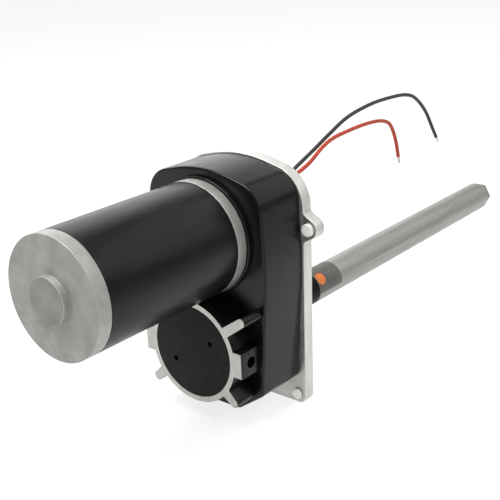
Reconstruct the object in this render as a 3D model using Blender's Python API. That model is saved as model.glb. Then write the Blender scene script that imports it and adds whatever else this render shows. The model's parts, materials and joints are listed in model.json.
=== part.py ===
"""Parallel-drive linear actuator: a DC motor lies beside a lead screw and drives it through two gear stages.

The screw axis is the X axis and the rod extends towards +X. The motor lies above it (+Z), on a parallel axis.
X = 0 is the machined rear face of the bearing housing. All sizes below are in millimetres.
"""

import math

import bmesh
import bpy
from mathutils import Matrix, Vector

MM = 0.001
GAP = 0.3

# Two parallel axes, and the idler between them
MOTOR_AXIS_Z = 78.0
MODULE = 1.5
PINION_TEETH = 16
IDLER_LARGE_TEETH = 34
IDLER_SMALL_TEETH = 18
SCREW_GEAR_TEETH = 36
PRESSURE_ANGLE = math.radians(20.0)
BACKLASH = 0.35
IDLER_AXIS_Z = (IDLER_SMALL_TEETH + SCREW_GEAR_TEETH) * MODULE / 2
AXLE_RADIUS = 5.0
STAGE_ONE = (25.5, 35.5)
STAGE_TWO = (37.5, 49.5)

# Gear case: a shell open towards +X, with the bearing housing on its rear face
CASE_BACK = 18.3
CASE_FRONT = 57.7
CASE_WALL = 4.0
CASE_ROUNDING = 1.6
ARCH_TOP = 127.0
ARCH_RADIUS = 100.0
SHOULDER_HALF_WIDTH = 48.0
SHOULDER_Z = 114.5
SHOULDER_RADIUS = 20.0
CASE_HALF_WIDTH = 50.8
CASE_WIDEST_Z = 55.0
CASE_BOW_RADIUS = 300.0
CASE_LOW_HALF_WIDTH = 45.0
CHAMFER_TOP_Z = -29.0
CHAMFER_HALF_WIDTH = 23.0
CASE_BOTTOM_Z = -45.0
CASE_CORNER_RADIUS = 6.0
CHAMFER_ANGLE = math.atan2(CHAMFER_TOP_Z - CASE_BOTTOM_Z, CASE_LOW_HALF_WIDTH - CHAMFER_HALF_WIDTH)
HOUSING_RADIUS = 37.0
MOTOR_SEAT_RADIUS = 40.5
MOTOR_SEAT_BACK = 15.2
PAD_REACH = 42.8
PAD_HALF_HEIGHT = 9.2
PAD_HOLE_X = 10.0
PAD_HOLE_RADIUS = 4.0
PAD_HOLE_DEPTH = 7.6
UPPER_LUG = {"angle": 36.0, "reach": 57.0, "root_width": 7.4, "tip_width": 6.6}
LOWER_LUG = {"angle": -39.5, "reach": 48.2, "root_width": 8.4, "tip_width": 5.8}
LUG_ROOT = 35.0
LUG_TIP_ROUNDNESS = 0.9
SHAFT_HOLE_RADIUS = 9.0
BOSS_RADIUS = 5.8
BOSS_HOLE_DEPTH = 14.0

# A cut starts and ends this far outside what it cuts
BREAKTHROUGH = 1.0
AXLE_HOLE_FLOOR = 1.2
AXLE_HOLE_DEPTH = 5.0
SIDES = ((-1, "right"), (1, "left"))

# Rear bearing, its cap and the screw
CAP_RADIUS = 32.8
CAP_DEPTH = 6.4
CAP_CHAMFER = 0.4
CAP_HOLE_RADIUS = 2.0
CAP_HOLE_DEPTH = 3.0
CAP_HOLE_CENTRE = (16.0, -9.5)
REAR_BEARING_RADIUS = 31.0
REAR_BEARING = (6.8, 22.3)
REAR_JOURNAL_RADIUS = 10.0
SCREW_SHOULDER_RADIUS = 13.0
GEAR_SEAT_RADIUS = 10.0
FRONT_JOURNAL_RADIUS = 8.5
FRONT_BEARING_RADIUS = 17.2
FRONT_BEARING = (51.2, 61.0)
SCREW_RADIUS = 6.0
SCREW_NECK_LENGTH = 3.0
SCREW_CHAMFER = 1.0
SCREW_END = 345.0

# Mounting plate, its ears and screws
PLATE_BACK = 58.0
PLATE_FRONT = 67.0
PLATE_HALF_WIDTH = 52.3
PLATE_LOW_HALF_WIDTH = 51.3
PLATE_BOTTOM_Z = -50.8
PLATE_CORNER_RADIUS = 6.0
PLATE_SHOULDER_RADIUS = 27.0
PLATE_OVERHANG_TOP = 0.6
PLATE_HUB_RADIUS = 22.0
COLLAR_BORE_RADIUS = 13.1
EAR_REACH = 62.8
EAR_HALF_HEIGHT = 4.0
EAR_FLARE_HEIGHT = 6.0
EAR_FLARE_RADIUS = 3.0
EAR_SCREW = (56.2, 80.3)
CORNER_SCREW = (44.4, -43.8)
COVER_SCREWS = ((15.0, 112.5), (40.0, -13.0))
COVER_SEAT_X = 62.0
COVER_TIP_X = 45.0
MOTOR_SCREW = (20.0, 84.0)
MOTOR_SCREW_TIP_X = 9.0
# Each kind of screw: radii of head and shank, height of the head
EAR_SCREW_SIZE = {"head": 4.4, "shank": 2.9, "height": 2.2}
CORNER_SCREW_SIZE = {"head": 3.8, "shank": 2.4, "height": 1.8}
COVER_SCREW_SIZE = {"head": 4.2, "shank": 2.3, "height": 4.2}
MOTOR_SCREW_SIZE = {"head": 4.2, "shank": 2.3, "height": 2.4}
COUNTERBORE_RADIUS = 4.7

# Tubes and rod
TUBE_RADIUS = 12.7
TUBE_BORE_RADIUS = 11.2
TUBE_END = 413.7
COLLAR = (61.5, 132.0)
COLLAR_OVERLAP = 10.0
TENON_RADIUS = 11.9
TUBE_END_CHAMFER = 0.8
NUT = (72.0, 97.0)
NUT_RADIUS = 10.9
ROD_RADIUS = 9.6
ROD_BORE_RADIUS = 7.6
ROD_SPIGOT_LENGTH = 22.0
ROD_HEAD = (414.3, 421.0)
ROD_HEAD_CORNER_RADIUS = 12.2
ROD_HEAD_SIDES = 6
ROD_THREAD_RADIUS = 5.1
ROD_THREAD_DEPTH = 16.0
BUSHING_BACK = 396.0

# Motor
MOTOR_RADIUS = 39.0
MOTOR_BORE_RADIUS = 36.0
MOTOR_REAR = -111.5
MOTOR_RIM_FRONT = -102.2
MOTOR_CAN_FRONT = 6.5
MOTOR_BELL_FRONT = 14.9
REAR_BOSS_RADIUS = 14.9
REAR_BOSS_BACK = -115.8
REAR_BELL_CHAMFER = 1.8
MOTOR_SHAFT_RADIUS = 5.0
MOTOR_BEARING_RADIUS = 13.0
REAR_POCKET_DEPTH = 0.6
FRONT_BEARING_MOTOR = (2.8, 11.2)
BELL_NECK_BACK = 2.0
BELL_NECK_RADIUS = 18.0
BELL_SPIGOT_RADIUS = 8.6
BELL_SPIGOT_REACH = 3.0
BELL_SHAFT_HOLE_RADIUS = 6.0
MAGNET_RADII = (29.5, 35.6)
MAGNET = (-84.0, -6.0)
MAGNET_HALF_ANGLE = math.radians(68.0)
MAGNET_STEPS = 12
CORE_RADIUS = 28.5
CORE = (-72.7, -18.0)
CORE_SLOTS = 12
CORE_SLOT_BOTTOM = 19.0
CORE_HALF_SLOT = 2.2
WINDING_ENDS = (-83.0, -7.0)
WINDING_RADII = (10.0, 22.0, 26.0)
WINDING_SHOULDER = 3.0
COMMUTATOR = (-97.5, -84.0)
COMMUTATOR_RADIUS = 13.0
BRUSH = (-97.0, -88.0)
BRUSH_RADII = (13.4, 25.0)
BRUSH_HALF_HEIGHT = 4.0
BRUSH_HOLDER = (-101.0, -98.6)
BRUSH_HOLDER_RADII = (15.0, 35.6)

# Leads: two short insulated wires that stand out of a grommet in the plate
LEAD_RADIUS = 1.4
STRAND_RADIUS = 0.9
LEAD_SPACING = 4.0
GROMMET_CENTRE = (-32.0, 110.5)
GROMMET_FACE = 69.0
GROMMET_RADIUS = 6.0
GROMMET_NECK_RADIUS = 4.3
GROMMET_HOLE_RADIUS = 4.7
LEAD_POINT_STEP = 6.5
LEAD_HOLE = (-20.0, 100.0)
LEAD_HOLE_RADIUS = 4.6
INNER_LEAD_OFFSET = 1.8
BLACK_LEAD_Y = GROMMET_CENTRE[0] + LEAD_SPACING / 2
RED_LEAD_Y = GROMMET_CENTRE[0] - LEAD_SPACING / 2
LEAD_START = (GROMMET_FACE + GAP, GROMMET_CENTRE[1])
# Points (x, z) of each lead's route; each lead keeps its own y
BLACK_ROUTE = (
    LEAD_START, (74.0, 110.8), (83.0, 114.3), (101.0, 120.6), (121.0, 128.1), (144.0, 135.5), (173.0, 139.0),
    (199.0, 139.1), (223.0, 137.2), (239.0, 131.8), (255.5, 118.5), (268.0, 102.0), (274.7, 93.0),
)
RED_ROUTE = (
    LEAD_START, (77.3, 111.0), (91.0, 114.7), (106.0, 121.9), (119.0, 125.6), (138.0, 127.0),
    (161.0, 127.3), (180.0, 125.8), (192.5, 121.9), (199.0, 115.2), (204.3, 104.5), (208.0, 92.0),
)
STRAND_LENGTH = 5.5

COLOURS = {
    "black_paint": ((0.012, 0.012, 0.012), 0.35, 0.0),
    "black_anodised": ((0.02, 0.02, 0.02), 0.5, 0.4),
    "cast_aluminium": ((0.55, 0.55, 0.53), 0.5, 0.9),
    "plate_aluminium": ((0.62, 0.62, 0.6), 0.4, 0.9),
    "tube_steel": ((0.42, 0.42, 0.4), 0.35, 1.0),
    "steel": ((0.5, 0.5, 0.5), 0.3, 1.0),
    "bronze": ((0.45, 0.28, 0.1), 0.4, 1.0),
    "copper": ((0.6, 0.25, 0.12), 0.4, 1.0),
    "magnet": ((0.05, 0.05, 0.055), 0.7, 0.0),
    "carbon": ((0.02, 0.02, 0.02), 0.8, 0.0),
    "insulation_board": ((0.25, 0.12, 0.04), 0.7, 0.0),
    "rubber": ((0.015, 0.015, 0.015), 0.8, 0.0),
    "black_insulation": ((0.02, 0.02, 0.022), 0.5, 0.0),
    "red_insulation": ((0.45, 0.06, 0.035), 0.5, 0.0),
    "tinned_copper": ((0.6, 0.58, 0.55), 0.3, 1.0),
}


def clear_scene():
    for existing in list(bpy.data.objects):
        bpy.data.objects.remove(existing, do_unlink=True)


def material(name):
    existing = bpy.data.materials.get(name)
    if existing:
        return existing
    colour, roughness, metallic = COLOURS[name]
    made = bpy.data.materials.new(name)
    made.use_nodes = True
    shader = made.node_tree.nodes["Principled BSDF"]
    shader.inputs["Base Color"].default_value = (*colour, 1.0)
    shader.inputs["Roughness"].default_value = roughness
    shader.inputs["Metallic"].default_value = metallic
    return made


def add_object(name, mesh, centre, material_name, parent):
    """The object's origin is at centre = (x, y, z) in millimetres."""
    made = bpy.data.objects.new(name, mesh)
    bpy.context.scene.collection.objects.link(made)
    made.location = [value * MM for value in centre]
    mesh.materials.append(material(material_name))
    if parent:
        made.parent = parent
        made.location = made.location - parent.location
    return made


def finish_mesh(name, bm):
    bmesh.ops.remove_doubles(bm, verts=bm.verts, dist=1e-7)
    bmesh.ops.recalc_face_normals(bm, faces=bm.faces)
    mesh = bpy.data.meshes.new(name)
    bm.to_mesh(mesh)
    bm.free()
    mesh.shade_smooth()
    mesh.set_sharp_from_angle(angle=math.radians(35))
    return mesh


def turned(name, profile, axis_yz, material_name, steps=48, parent=None):
    """A solid of revolution about an axis along X; profile is a closed loop of (x, radius)."""
    bm = bmesh.new()
    corners = [bm.verts.new((x * MM, 0, radius * MM)) for x, radius in profile]
    edges = []
    for start, end in zip(corners, corners[1:] + corners[:1]):
        on_axis = start.co.z < 1e-9 and end.co.z < 1e-9
        if not on_axis:
            edges.append(bm.edges.new((start, end)))
    bmesh.ops.spin(
        bm, geom=corners + edges, cent=(0, 0, 0), axis=(1, 0, 0),
        angle=math.tau, steps=steps, use_merge=True,
    )
    return add_object(name, finish_mesh(name, bm), (0, *axis_yz), material_name, parent)


def rod(name, x_from, x_to, radius, axis_yz, material_name, steps=32, parent=None):
    profile = [(x_from, 0), (x_from, radius), (x_to, radius), (x_to, 0)]
    return turned(name, profile, axis_yz, material_name, steps, parent)


def tube(name, x_from, x_to, bore, radius, axis_yz, material_name, steps=48, parent=None):
    profile = [(x_from, bore), (x_from, radius), (x_to, radius), (x_to, bore)]
    return turned(name, profile, axis_yz, material_name, steps, parent)


def extruded(name, outline, x_from, x_to, axis_yz, material_name, back_rounding=0.0, parent=None):
    """A solid with the outline (y, z) about axis_yz, from x_from to x_to."""
    bm = bmesh.new()
    corners = [bm.verts.new((x_from * MM, y * MM, z * MM)) for y, z in outline]
    back = bm.faces.new(corners)
    grown = bmesh.ops.extrude_face_region(bm, geom=[back], use_keep_orig=True)
    moved = [item for item in grown["geom"] if isinstance(item, bmesh.types.BMVert)]
    bmesh.ops.translate(bm, verts=moved, vec=((x_to - x_from) * MM, 0, 0))
    if back_rounding:
        rims = [edge for edge in bm.edges if all(vert in corners for vert in edge.verts)]
        bmesh.ops.bevel(bm, geom=rims, offset=back_rounding * MM, segments=3, profile=0.5, affect="EDGES")
    return add_object(name, finish_mesh(name, bm), (0, *axis_yz), material_name, parent)


def box(name, low, high, material_name, parent=None):
    outline = [(low[1], low[2]), (high[1], low[2]), (high[1], high[2]), (low[1], high[2])]
    return extruded(name, outline, low[0], high[0], (0, 0), material_name, parent=parent)


def combine(target, other, operation, solver="EXACT"):
    """A Boolean on target with a helper that isn't rendered."""
    modifier = target.modifiers.new(other.name, "BOOLEAN")
    modifier.operation = operation
    modifier.solver = solver
    modifier.object = other
    other.hide_render = True
    other.display_type = "WIRE"


def drill(target, name, x_from, x_to, radius, axis_yz, steps=16):
    combine(target, rod(name, x_from, x_to, radius, axis_yz, "steel", steps), "DIFFERENCE")


def rounded_outline(corners, steps=5):
    """Points along a polygon of corners (y, z, radius), each corner replaced with an arc of its radius."""
    points = []
    count = len(corners)
    for index, (y, z, radius) in enumerate(corners):
        corner = Vector((y, z))
        before = (Vector(corners[index - 1][:2]) - corner).normalized()
        after = (Vector(corners[(index + 1) % count][:2]) - corner).normalized()
        if not radius:
            points.append((y, z))
            continue
        half_angle = before.angle(after) / 2
        start = corner + before * radius / math.tan(half_angle)
        centre = corner + (before + after).normalized() * radius / math.sin(half_angle)
        spoke = start - centre
        end = corner + after * radius / math.tan(half_angle)
        sweep = spoke.angle_signed(end - centre)
        for step in range(steps + 1):
            turned_spoke = spoke.copy()
            turned_spoke.rotate(Matrix.Rotation(-sweep * step / steps, 2))
            points.append(tuple(centre + turned_spoke))
    return points


def case_outline(inset):
    """The case seen along X. The inset narrows it by the wall's thickness for the cavity."""
    chamfer_rise = inset * math.tan(math.pi / 4 - CHAMFER_ANGLE / 2)
    chamfer_shift = inset * math.tan(CHAMFER_ANGLE / 2)
    right = [
        (SHOULDER_HALF_WIDTH - inset, SHOULDER_Z - inset, SHOULDER_RADIUS - inset),
        (CASE_HALF_WIDTH - inset, CASE_WIDEST_Z, CASE_BOW_RADIUS),
        (CASE_LOW_HALF_WIDTH - inset, CHAMFER_TOP_Z + chamfer_rise, CASE_CORNER_RADIUS),
        (CHAMFER_HALF_WIDTH - chamfer_shift, CASE_BOTTOM_Z + inset, CASE_CORNER_RADIUS),
    ]
    left = [(-y, z, radius) for y, z, radius in reversed(right)]
    return rounded_outline([(0, ARCH_TOP - inset, ARCH_RADIUS), *right, *left])


def plate_outline():
    """The plate seen along X: a little larger than the case, with a round ear on each side."""
    ear_radius = EAR_REACH - EAR_SCREW[0]
    ear_low, ear_high = EAR_SCREW[1] - EAR_HALF_HEIGHT, EAR_SCREW[1] + EAR_HALF_HEIGHT
    right = [
        (PLATE_HALF_WIDTH, SHOULDER_Z + PLATE_OVERHANG_TOP, PLATE_SHOULDER_RADIUS),
        (PLATE_HALF_WIDTH, ear_high + EAR_FLARE_HEIGHT, EAR_FLARE_RADIUS),
        (EAR_REACH, ear_high, ear_radius),
        (EAR_REACH, ear_low, ear_radius),
        (PLATE_HALF_WIDTH, ear_low - EAR_FLARE_HEIGHT, EAR_FLARE_RADIUS),
        (PLATE_LOW_HALF_WIDTH, PLATE_BOTTOM_Z, PLATE_CORNER_RADIUS),
    ]
    left = [(-y, z, radius) for y, z, radius in reversed(right)]
    return rounded_outline([(0, ARCH_TOP + PLATE_OVERHANG_TOP, ARCH_RADIUS), *right, *left])


def lug(name, lug_size, side):
    """A radial rib of the bearing housing that runs back to the case, tapered towards its tip."""
    angle = math.radians(lug_size["angle"])
    along = Vector((side * math.cos(angle), math.sin(angle)))
    across = Vector((-along.y, along.x))
    root = along * LUG_ROOT
    tip = along * lug_size["reach"]
    half_root, half_tip = lug_size["root_width"] / 2, lug_size["tip_width"] / 2
    rounding = half_tip * LUG_TIP_ROUNDNESS
    corners = [
        (*(root - across * half_root), 0), (*(tip - across * half_tip), rounding),
        (*(tip + across * half_tip), rounding), (*(root + across * half_root), 0),
    ]
    return extruded(name, rounded_outline(corners, steps=3), 0, CASE_BACK + 1, (0, 0), "black_paint")


def cast(target, other, operation):
    """As combine, for the casting: the EXACT solver leaves its many flush faces open."""
    combine(target, other, operation, "MANIFOLD")


def cast_hole(target, name, x_from, x_to, radius, axis_yz, steps=16):
    cast(target, rod(name, x_from, x_to, radius, axis_yz, "steel", steps), "DIFFERENCE")


def cast_wall_hole(target, name, radius, axis_yz, steps=16):
    """A hole through the motor seat and the case's rear wall."""
    x_from, x_to = MOTOR_SEAT_BACK - BREAKTHROUGH, CASE_BACK + CASE_WALL + BREAKTHROUGH
    cast_hole(target, name, x_from, x_to, radius, axis_yz, steps)


def make_case_outside():
    case = extruded(
        "gear_case", case_outline(0), CASE_BACK, CASE_FRONT, (0, 0), "black_paint", CASE_ROUNDING
    )
    inside_wall = CASE_BACK + CASE_WALL / 2
    cast(case, rod("case_housing", 0, inside_wall, HOUSING_RADIUS, (0, 0), "black_paint", 48), "UNION")
    seat_axis = (0, MOTOR_AXIS_Z)
    seat = rod(
        "case_motor_seat", MOTOR_SEAT_BACK, inside_wall, MOTOR_SEAT_RADIUS, seat_axis, "black_paint", 48
    )
    cast(case, seat, "UNION")
    for side, word in SIDES:
        low_y, high_y = sorted((side * LUG_ROOT, side * PAD_REACH))
        pad_low, pad_high = (0, low_y, -PAD_HALF_HEIGHT), (CASE_BACK + 1, high_y, PAD_HALF_HEIGHT)
        cast(case, box(f"case_pad_{word}", pad_low, pad_high, "black_paint"), "UNION")
        for lug_name, lug_size in (("upper", UPPER_LUG), ("lower", LOWER_LUG)):
            cast(case, lug(f"case_{lug_name}_lug_{word}", lug_size, side), "UNION")
    return case


def cut_case_side(case, side, word):
    """The bosses and holes of one half of the case."""
    for index, (y, z) in enumerate(COVER_SCREWS):
        axis = (side * y, z)
        boss_span = (CASE_BACK + CASE_WALL / 2, CASE_FRONT)
        boss = rod(f"case_boss_{word}_{index}", *boss_span, BOSS_RADIUS, axis, "black_paint", 12)
        cast(case, boss, "UNION")
        cast_hole(
            case, f"case_boss_hole_{word}_{index}", CASE_FRONT - BOSS_HOLE_DEPTH, CASE_FRONT + BREAKTHROUGH,
            COVER_SCREW_SIZE["shank"] + GAP, axis, 12,
        )
    screw_axis = (side * MOTOR_SCREW[0], MOTOR_SCREW[1])
    cast_wall_hole(case, f"case_motor_screw_hole_{word}", MOTOR_SCREW_SIZE["shank"] + GAP, screw_axis, 12)
    hole_span = (PAD_REACH - PAD_HOLE_DEPTH, PAD_REACH + BREAKTHROUGH)
    hole = rod(f"case_pad_hole_{word}", *hole_span, PAD_HOLE_RADIUS, (0, 0), "steel", 16)
    hole.rotation_euler.z = side * math.pi / 2
    hole.location.x = PAD_HOLE_X * MM
    cast(case, hole, "DIFFERENCE")


def make_gear_case():
    case = make_case_outside()
    cavity_span = (CASE_BACK + CASE_WALL, CASE_FRONT + BREAKTHROUGH)
    cavity = extruded("case_cavity", case_outline(CASE_WALL), *cavity_span, (0, 0), "steel")
    cast(case, cavity, "DIFFERENCE")
    for side, word in SIDES:
        cut_case_side(case, side, word)
    bore_end = CASE_BACK + CASE_WALL + BREAKTHROUGH
    shoulder_x = CAP_DEPTH + GAP
    cap_bore, bearing_bore = CAP_RADIUS + GAP, REAR_BEARING_RADIUS + GAP
    bore_profile = [
        (-BREAKTHROUGH, 0), (-BREAKTHROUGH, cap_bore), (shoulder_x, cap_bore),
        (shoulder_x, bearing_bore), (bore_end, bearing_bore), (bore_end, 0),
    ]
    cast(case, turned("case_stepped_bore", bore_profile, (0, 0), "steel", 48), "DIFFERENCE")
    cast_wall_hole(case, "case_shaft_hole", SHAFT_HOLE_RADIUS, (0, MOTOR_AXIS_Z), 24)
    cast_wall_hole(case, "case_lead_hole", LEAD_HOLE_RADIUS, LEAD_HOLE)
    hole_back = CASE_BACK + AXLE_HOLE_FLOOR
    cast_hole(case, "case_axle_hole", hole_back, bore_end, AXLE_RADIUS + GAP, (0, IDLER_AXIS_Z), 24)


def make_bearing_cap():
    profile = [
        (0, 0), (0, CAP_RADIUS - CAP_CHAMFER), (CAP_CHAMFER, CAP_RADIUS), (CAP_DEPTH, CAP_RADIUS),
        (CAP_DEPTH, 0),
    ]
    cap = turned("bearing_cap", profile, (0, 0), "black_anodised", 48)
    for sign in (-1, 1):
        centre = (sign * CAP_HOLE_CENTRE[0], sign * CAP_HOLE_CENTRE[1])
        drill(cap, f"cap_hole_{sign + 1}", -BREAKTHROUGH, CAP_HOLE_DEPTH, CAP_HOLE_RADIUS, centre)


def drill_plate(plate, name, radius, axis_yz, steps=16):
    """A hole right through the plate."""
    drill(plate, name, PLATE_BACK - BREAKTHROUGH, PLATE_FRONT + BREAKTHROUGH, radius, axis_yz, steps)


def counterbore_profile():
    """A cover screw's hole, with a wider mouth for its head."""
    low, high = PLATE_BACK - BREAKTHROUGH, PLATE_FRONT + BREAKTHROUGH
    radius = COVER_SCREW_SIZE["shank"] + GAP
    return [
        (low, 0), (low, radius), (COVER_SEAT_X, radius), (COVER_SEAT_X, COUNTERBORE_RADIUS),
        (high, COUNTERBORE_RADIUS), (high, 0),
    ]


def make_plate():
    plate = extruded("mounting_plate", plate_outline(), PLATE_BACK, PLATE_FRONT, (0, 0), "plate_aluminium")
    hub_back = FRONT_BEARING[0] - 2 * GAP
    hub = rod("plate_hub", hub_back, PLATE_BACK + BREAKTHROUGH, PLATE_HUB_RADIUS, (0, 0), "steel", 32)
    combine(plate, hub, "UNION")
    bearing_span = (hub_back - BREAKTHROUGH, FRONT_BEARING[1] + GAP)
    drill(plate, "plate_bearing_bore", *bearing_span, FRONT_BEARING_RADIUS + GAP, (0, 0), 32)
    drill_plate(plate, "plate_collar_bore", COLLAR_BORE_RADIUS, (0, 0), 32)
    drill_plate(plate, "plate_lead_hole", GROMMET_HOLE_RADIUS, GROMMET_CENTRE, 24)
    axle_hole_span = (PLATE_BACK - BREAKTHROUGH, PLATE_BACK + AXLE_HOLE_DEPTH)
    drill(plate, "plate_axle_hole", *axle_hole_span, AXLE_RADIUS + GAP, (0, IDLER_AXIS_Z), 24)
    for side, word in SIDES:
        ear_axis = (side * EAR_SCREW[0], EAR_SCREW[1])
        drill_plate(plate, f"plate_ear_hole_{word}", EAR_SCREW_SIZE["shank"] + GAP, ear_axis)
        corner_axis = (side * CORNER_SCREW[0], CORNER_SCREW[1])
        drill_plate(plate, f"plate_corner_hole_{word}", CORNER_SCREW_SIZE["shank"] + GAP, corner_axis)
        for index, (y, z) in enumerate(COVER_SCREWS):
            name = f"plate_cover_hole_{word}_{index}"
            combine(plate, turned(name, counterbore_profile(), (side * y, z), "steel", 12), "DIFFERENCE")


def make_screw(name, seat_x, end_x, size, axis_yz):
    """A screw whose head sits on seat_x, on the side away from end_x."""
    top = seat_x + math.copysign(size["height"], seat_x - end_x)
    profile = [
        (end_x, 0), (end_x, size["shank"]), (seat_x, size["shank"]), (seat_x, size["head"]),
        (top, size["head"]), (top, 0),
    ]
    turned(name, profile, axis_yz, "steel", 12)


def make_screws():
    plate_screw_tip = PLATE_FRONT - GAP
    motor_seat_x = CASE_BACK + CASE_WALL + GAP
    for side, word in SIDES:
        ear_axis = (side * EAR_SCREW[0], EAR_SCREW[1])
        make_screw(f"ear_screw_{word}", PLATE_BACK - GAP, plate_screw_tip, EAR_SCREW_SIZE, ear_axis)
        corner_axis = (side * CORNER_SCREW[0], CORNER_SCREW[1])
        make_screw(f"corner_screw_{word}", PLATE_BACK - GAP, plate_screw_tip, CORNER_SCREW_SIZE, corner_axis)
        motor_axis = (side * MOTOR_SCREW[0], MOTOR_SCREW[1])
        make_screw(f"motor_screw_{word}", motor_seat_x, MOTOR_SCREW_TIP_X, MOTOR_SCREW_SIZE, motor_axis)
        for level, (y, z) in zip(("upper", "lower"), COVER_SCREWS):
            axis = (side * y, z)
            make_screw(f"cover_screw_{level}_{word}", COVER_SEAT_X + GAP, COVER_TIP_X, COVER_SCREW_SIZE, axis)


def gear_outline(teeth, phase):
    """Involute teeth with backlash; phase is the angle of one tooth's middle from +Y towards +Z."""
    pitch_radius = teeth * MODULE / 2
    base_radius = pitch_radius * math.cos(PRESSURE_ANGLE)
    root_radius = pitch_radius - 1.25 * MODULE
    tip_radius = pitch_radius + 0.92 * MODULE
    half_pitch_tooth = math.pi / (2 * teeth) - BACKLASH / (2 * pitch_radius)
    involute = math.tan(PRESSURE_ANGLE) - PRESSURE_ANGLE
    flank = []
    for radius in (max(base_radius, root_radius + 0.1), pitch_radius + 0.3, tip_radius):
        pressure = math.acos(min(1.0, base_radius / radius))
        half_angle = half_pitch_tooth + involute - (math.tan(pressure) - pressure)
        flank.append((radius, half_angle))
    flank.insert(0, (root_radius, flank[0][1] + 0.01))
    points = []
    for tooth in range(teeth):
        middle = phase + math.tau * tooth / teeth
        half_tooth = [(radius, middle - half_angle) for radius, half_angle in flank]
        half_tooth += [(radius, middle + half_angle) for radius, half_angle in reversed(flank)]
        points += [(radius * math.cos(angle), radius * math.sin(angle)) for radius, angle in half_tooth]
    return points


def through(span):
    """The span of a cut that runs past both ends of span."""
    return span[0] - BREAKTHROUGH, span[1] + BREAKTHROUGH


def make_gears(bodies):
    """Each pair meshes on the line of axes: a tooth points down into a gap that points up."""
    motor_axis, idler_axis = (0, MOTOR_AXIS_Z), (0, IDLER_AXIS_Z)
    up, down = math.pi / 2, -math.pi / 2
    pinion_teeth = gear_outline(PINION_TEETH, down)
    pinion = extruded("pinion", pinion_teeth, *STAGE_ONE, motor_axis, "steel", parent=bodies["rotor"])
    drill(pinion, "pinion_bore", *through(STAGE_ONE), MOTOR_SHAFT_RADIUS + GAP, motor_axis, 20)
    large_teeth = gear_outline(IDLER_LARGE_TEETH, up + math.pi / IDLER_LARGE_TEETH)
    idler = extruded("idler_gear", large_teeth, *STAGE_ONE, idler_axis, "steel", parent=bodies["idler"])
    small_teeth = gear_outline(IDLER_SMALL_TEETH, down)
    small_span = (STAGE_ONE[1] - BREAKTHROUGH, STAGE_TWO[1])
    combine(idler, extruded("idler_small_gear", small_teeth, *small_span, idler_axis, "steel"), "UNION")
    drill(idler, "idler_bore", *through((STAGE_ONE[0], STAGE_TWO[1])), AXLE_RADIUS + GAP, idler_axis, 24)
    axle_span = (CASE_BACK + AXLE_HOLE_FLOOR + GAP, PLATE_BACK + AXLE_HOLE_DEPTH - GAP)
    rod("idler_axle", *axle_span, AXLE_RADIUS, idler_axis, "steel", 24)
    screw_teeth = gear_outline(SCREW_GEAR_TEETH, up + math.pi / SCREW_GEAR_TEETH)
    gear = extruded("screw_gear", screw_teeth, *STAGE_TWO, (0, 0), "steel", parent=bodies["screw"])
    drill(gear, "screw_gear_bore", *through(STAGE_TWO), GEAR_SEAT_RADIUS + GAP, (0, 0), 24)


def make_screw_and_bearings(bodies):
    rear_bore, front_bore = REAR_JOURNAL_RADIUS + GAP, FRONT_JOURNAL_RADIUS + GAP
    tube("screw_bearing_rear", *REAR_BEARING, rear_bore, REAR_BEARING_RADIUS, (0, 0), "steel", 32)
    tube("screw_bearing_front", *FRONT_BEARING, front_bore, FRONT_BEARING_RADIUS, (0, 0), "steel", 24)
    back, shoulder_back = CAP_DEPTH + GAP, REAR_BEARING[1] + GAP
    seat_back, seat_front = STAGE_TWO[0] - GAP, STAGE_TWO[1] + 2 * GAP
    profile = [
        (back, 0), (back, REAR_JOURNAL_RADIUS), (shoulder_back, REAR_JOURNAL_RADIUS),
        (shoulder_back, SCREW_SHOULDER_RADIUS), (seat_back, SCREW_SHOULDER_RADIUS),
        (seat_back, GEAR_SEAT_RADIUS), (seat_front, GEAR_SEAT_RADIUS), (seat_front, FRONT_JOURNAL_RADIUS),
        (FRONT_BEARING[1], FRONT_JOURNAL_RADIUS), (FRONT_BEARING[1] + SCREW_NECK_LENGTH, SCREW_RADIUS),
        (SCREW_END - SCREW_CHAMFER, SCREW_RADIUS), (SCREW_END, SCREW_RADIUS - SCREW_CHAMFER), (SCREW_END, 0),
    ]
    turned("lead_screw", profile, (0, 0), "steel", 24, bodies["screw"])


def make_cover_tube():
    collar_back, collar_front = COLLAR
    tenon_back = collar_front - COLLAR_OVERLAP
    collar_profile = [
        (collar_back, TUBE_BORE_RADIUS), (collar_back, TUBE_RADIUS), (collar_front, TUBE_RADIUS),
        (collar_front, TENON_RADIUS + GAP), (tenon_back, TENON_RADIUS + GAP), (tenon_back, TUBE_BORE_RADIUS),
    ]
    turned("tube_collar", collar_profile, (0, 0), "black_anodised", 32)
    tube_profile = [
        (tenon_back + GAP, TUBE_BORE_RADIUS), (tenon_back + GAP, TENON_RADIUS),
        (collar_front + GAP, TENON_RADIUS), (collar_front + GAP, TUBE_RADIUS),
        (TUBE_END - TUBE_END_CHAMFER, TUBE_RADIUS), (TUBE_END, TUBE_RADIUS - TUBE_END_CHAMFER),
        (TUBE_END, TUBE_BORE_RADIUS),
    ]
    turned("cover_tube", tube_profile, (0, 0), "tube_steel", 32)
    tube("rod_bushing", BUSHING_BACK, TUBE_END - 2 * GAP, ROD_RADIUS + GAP, NUT_RADIUS, (0, 0), "bronze", 32)


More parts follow.
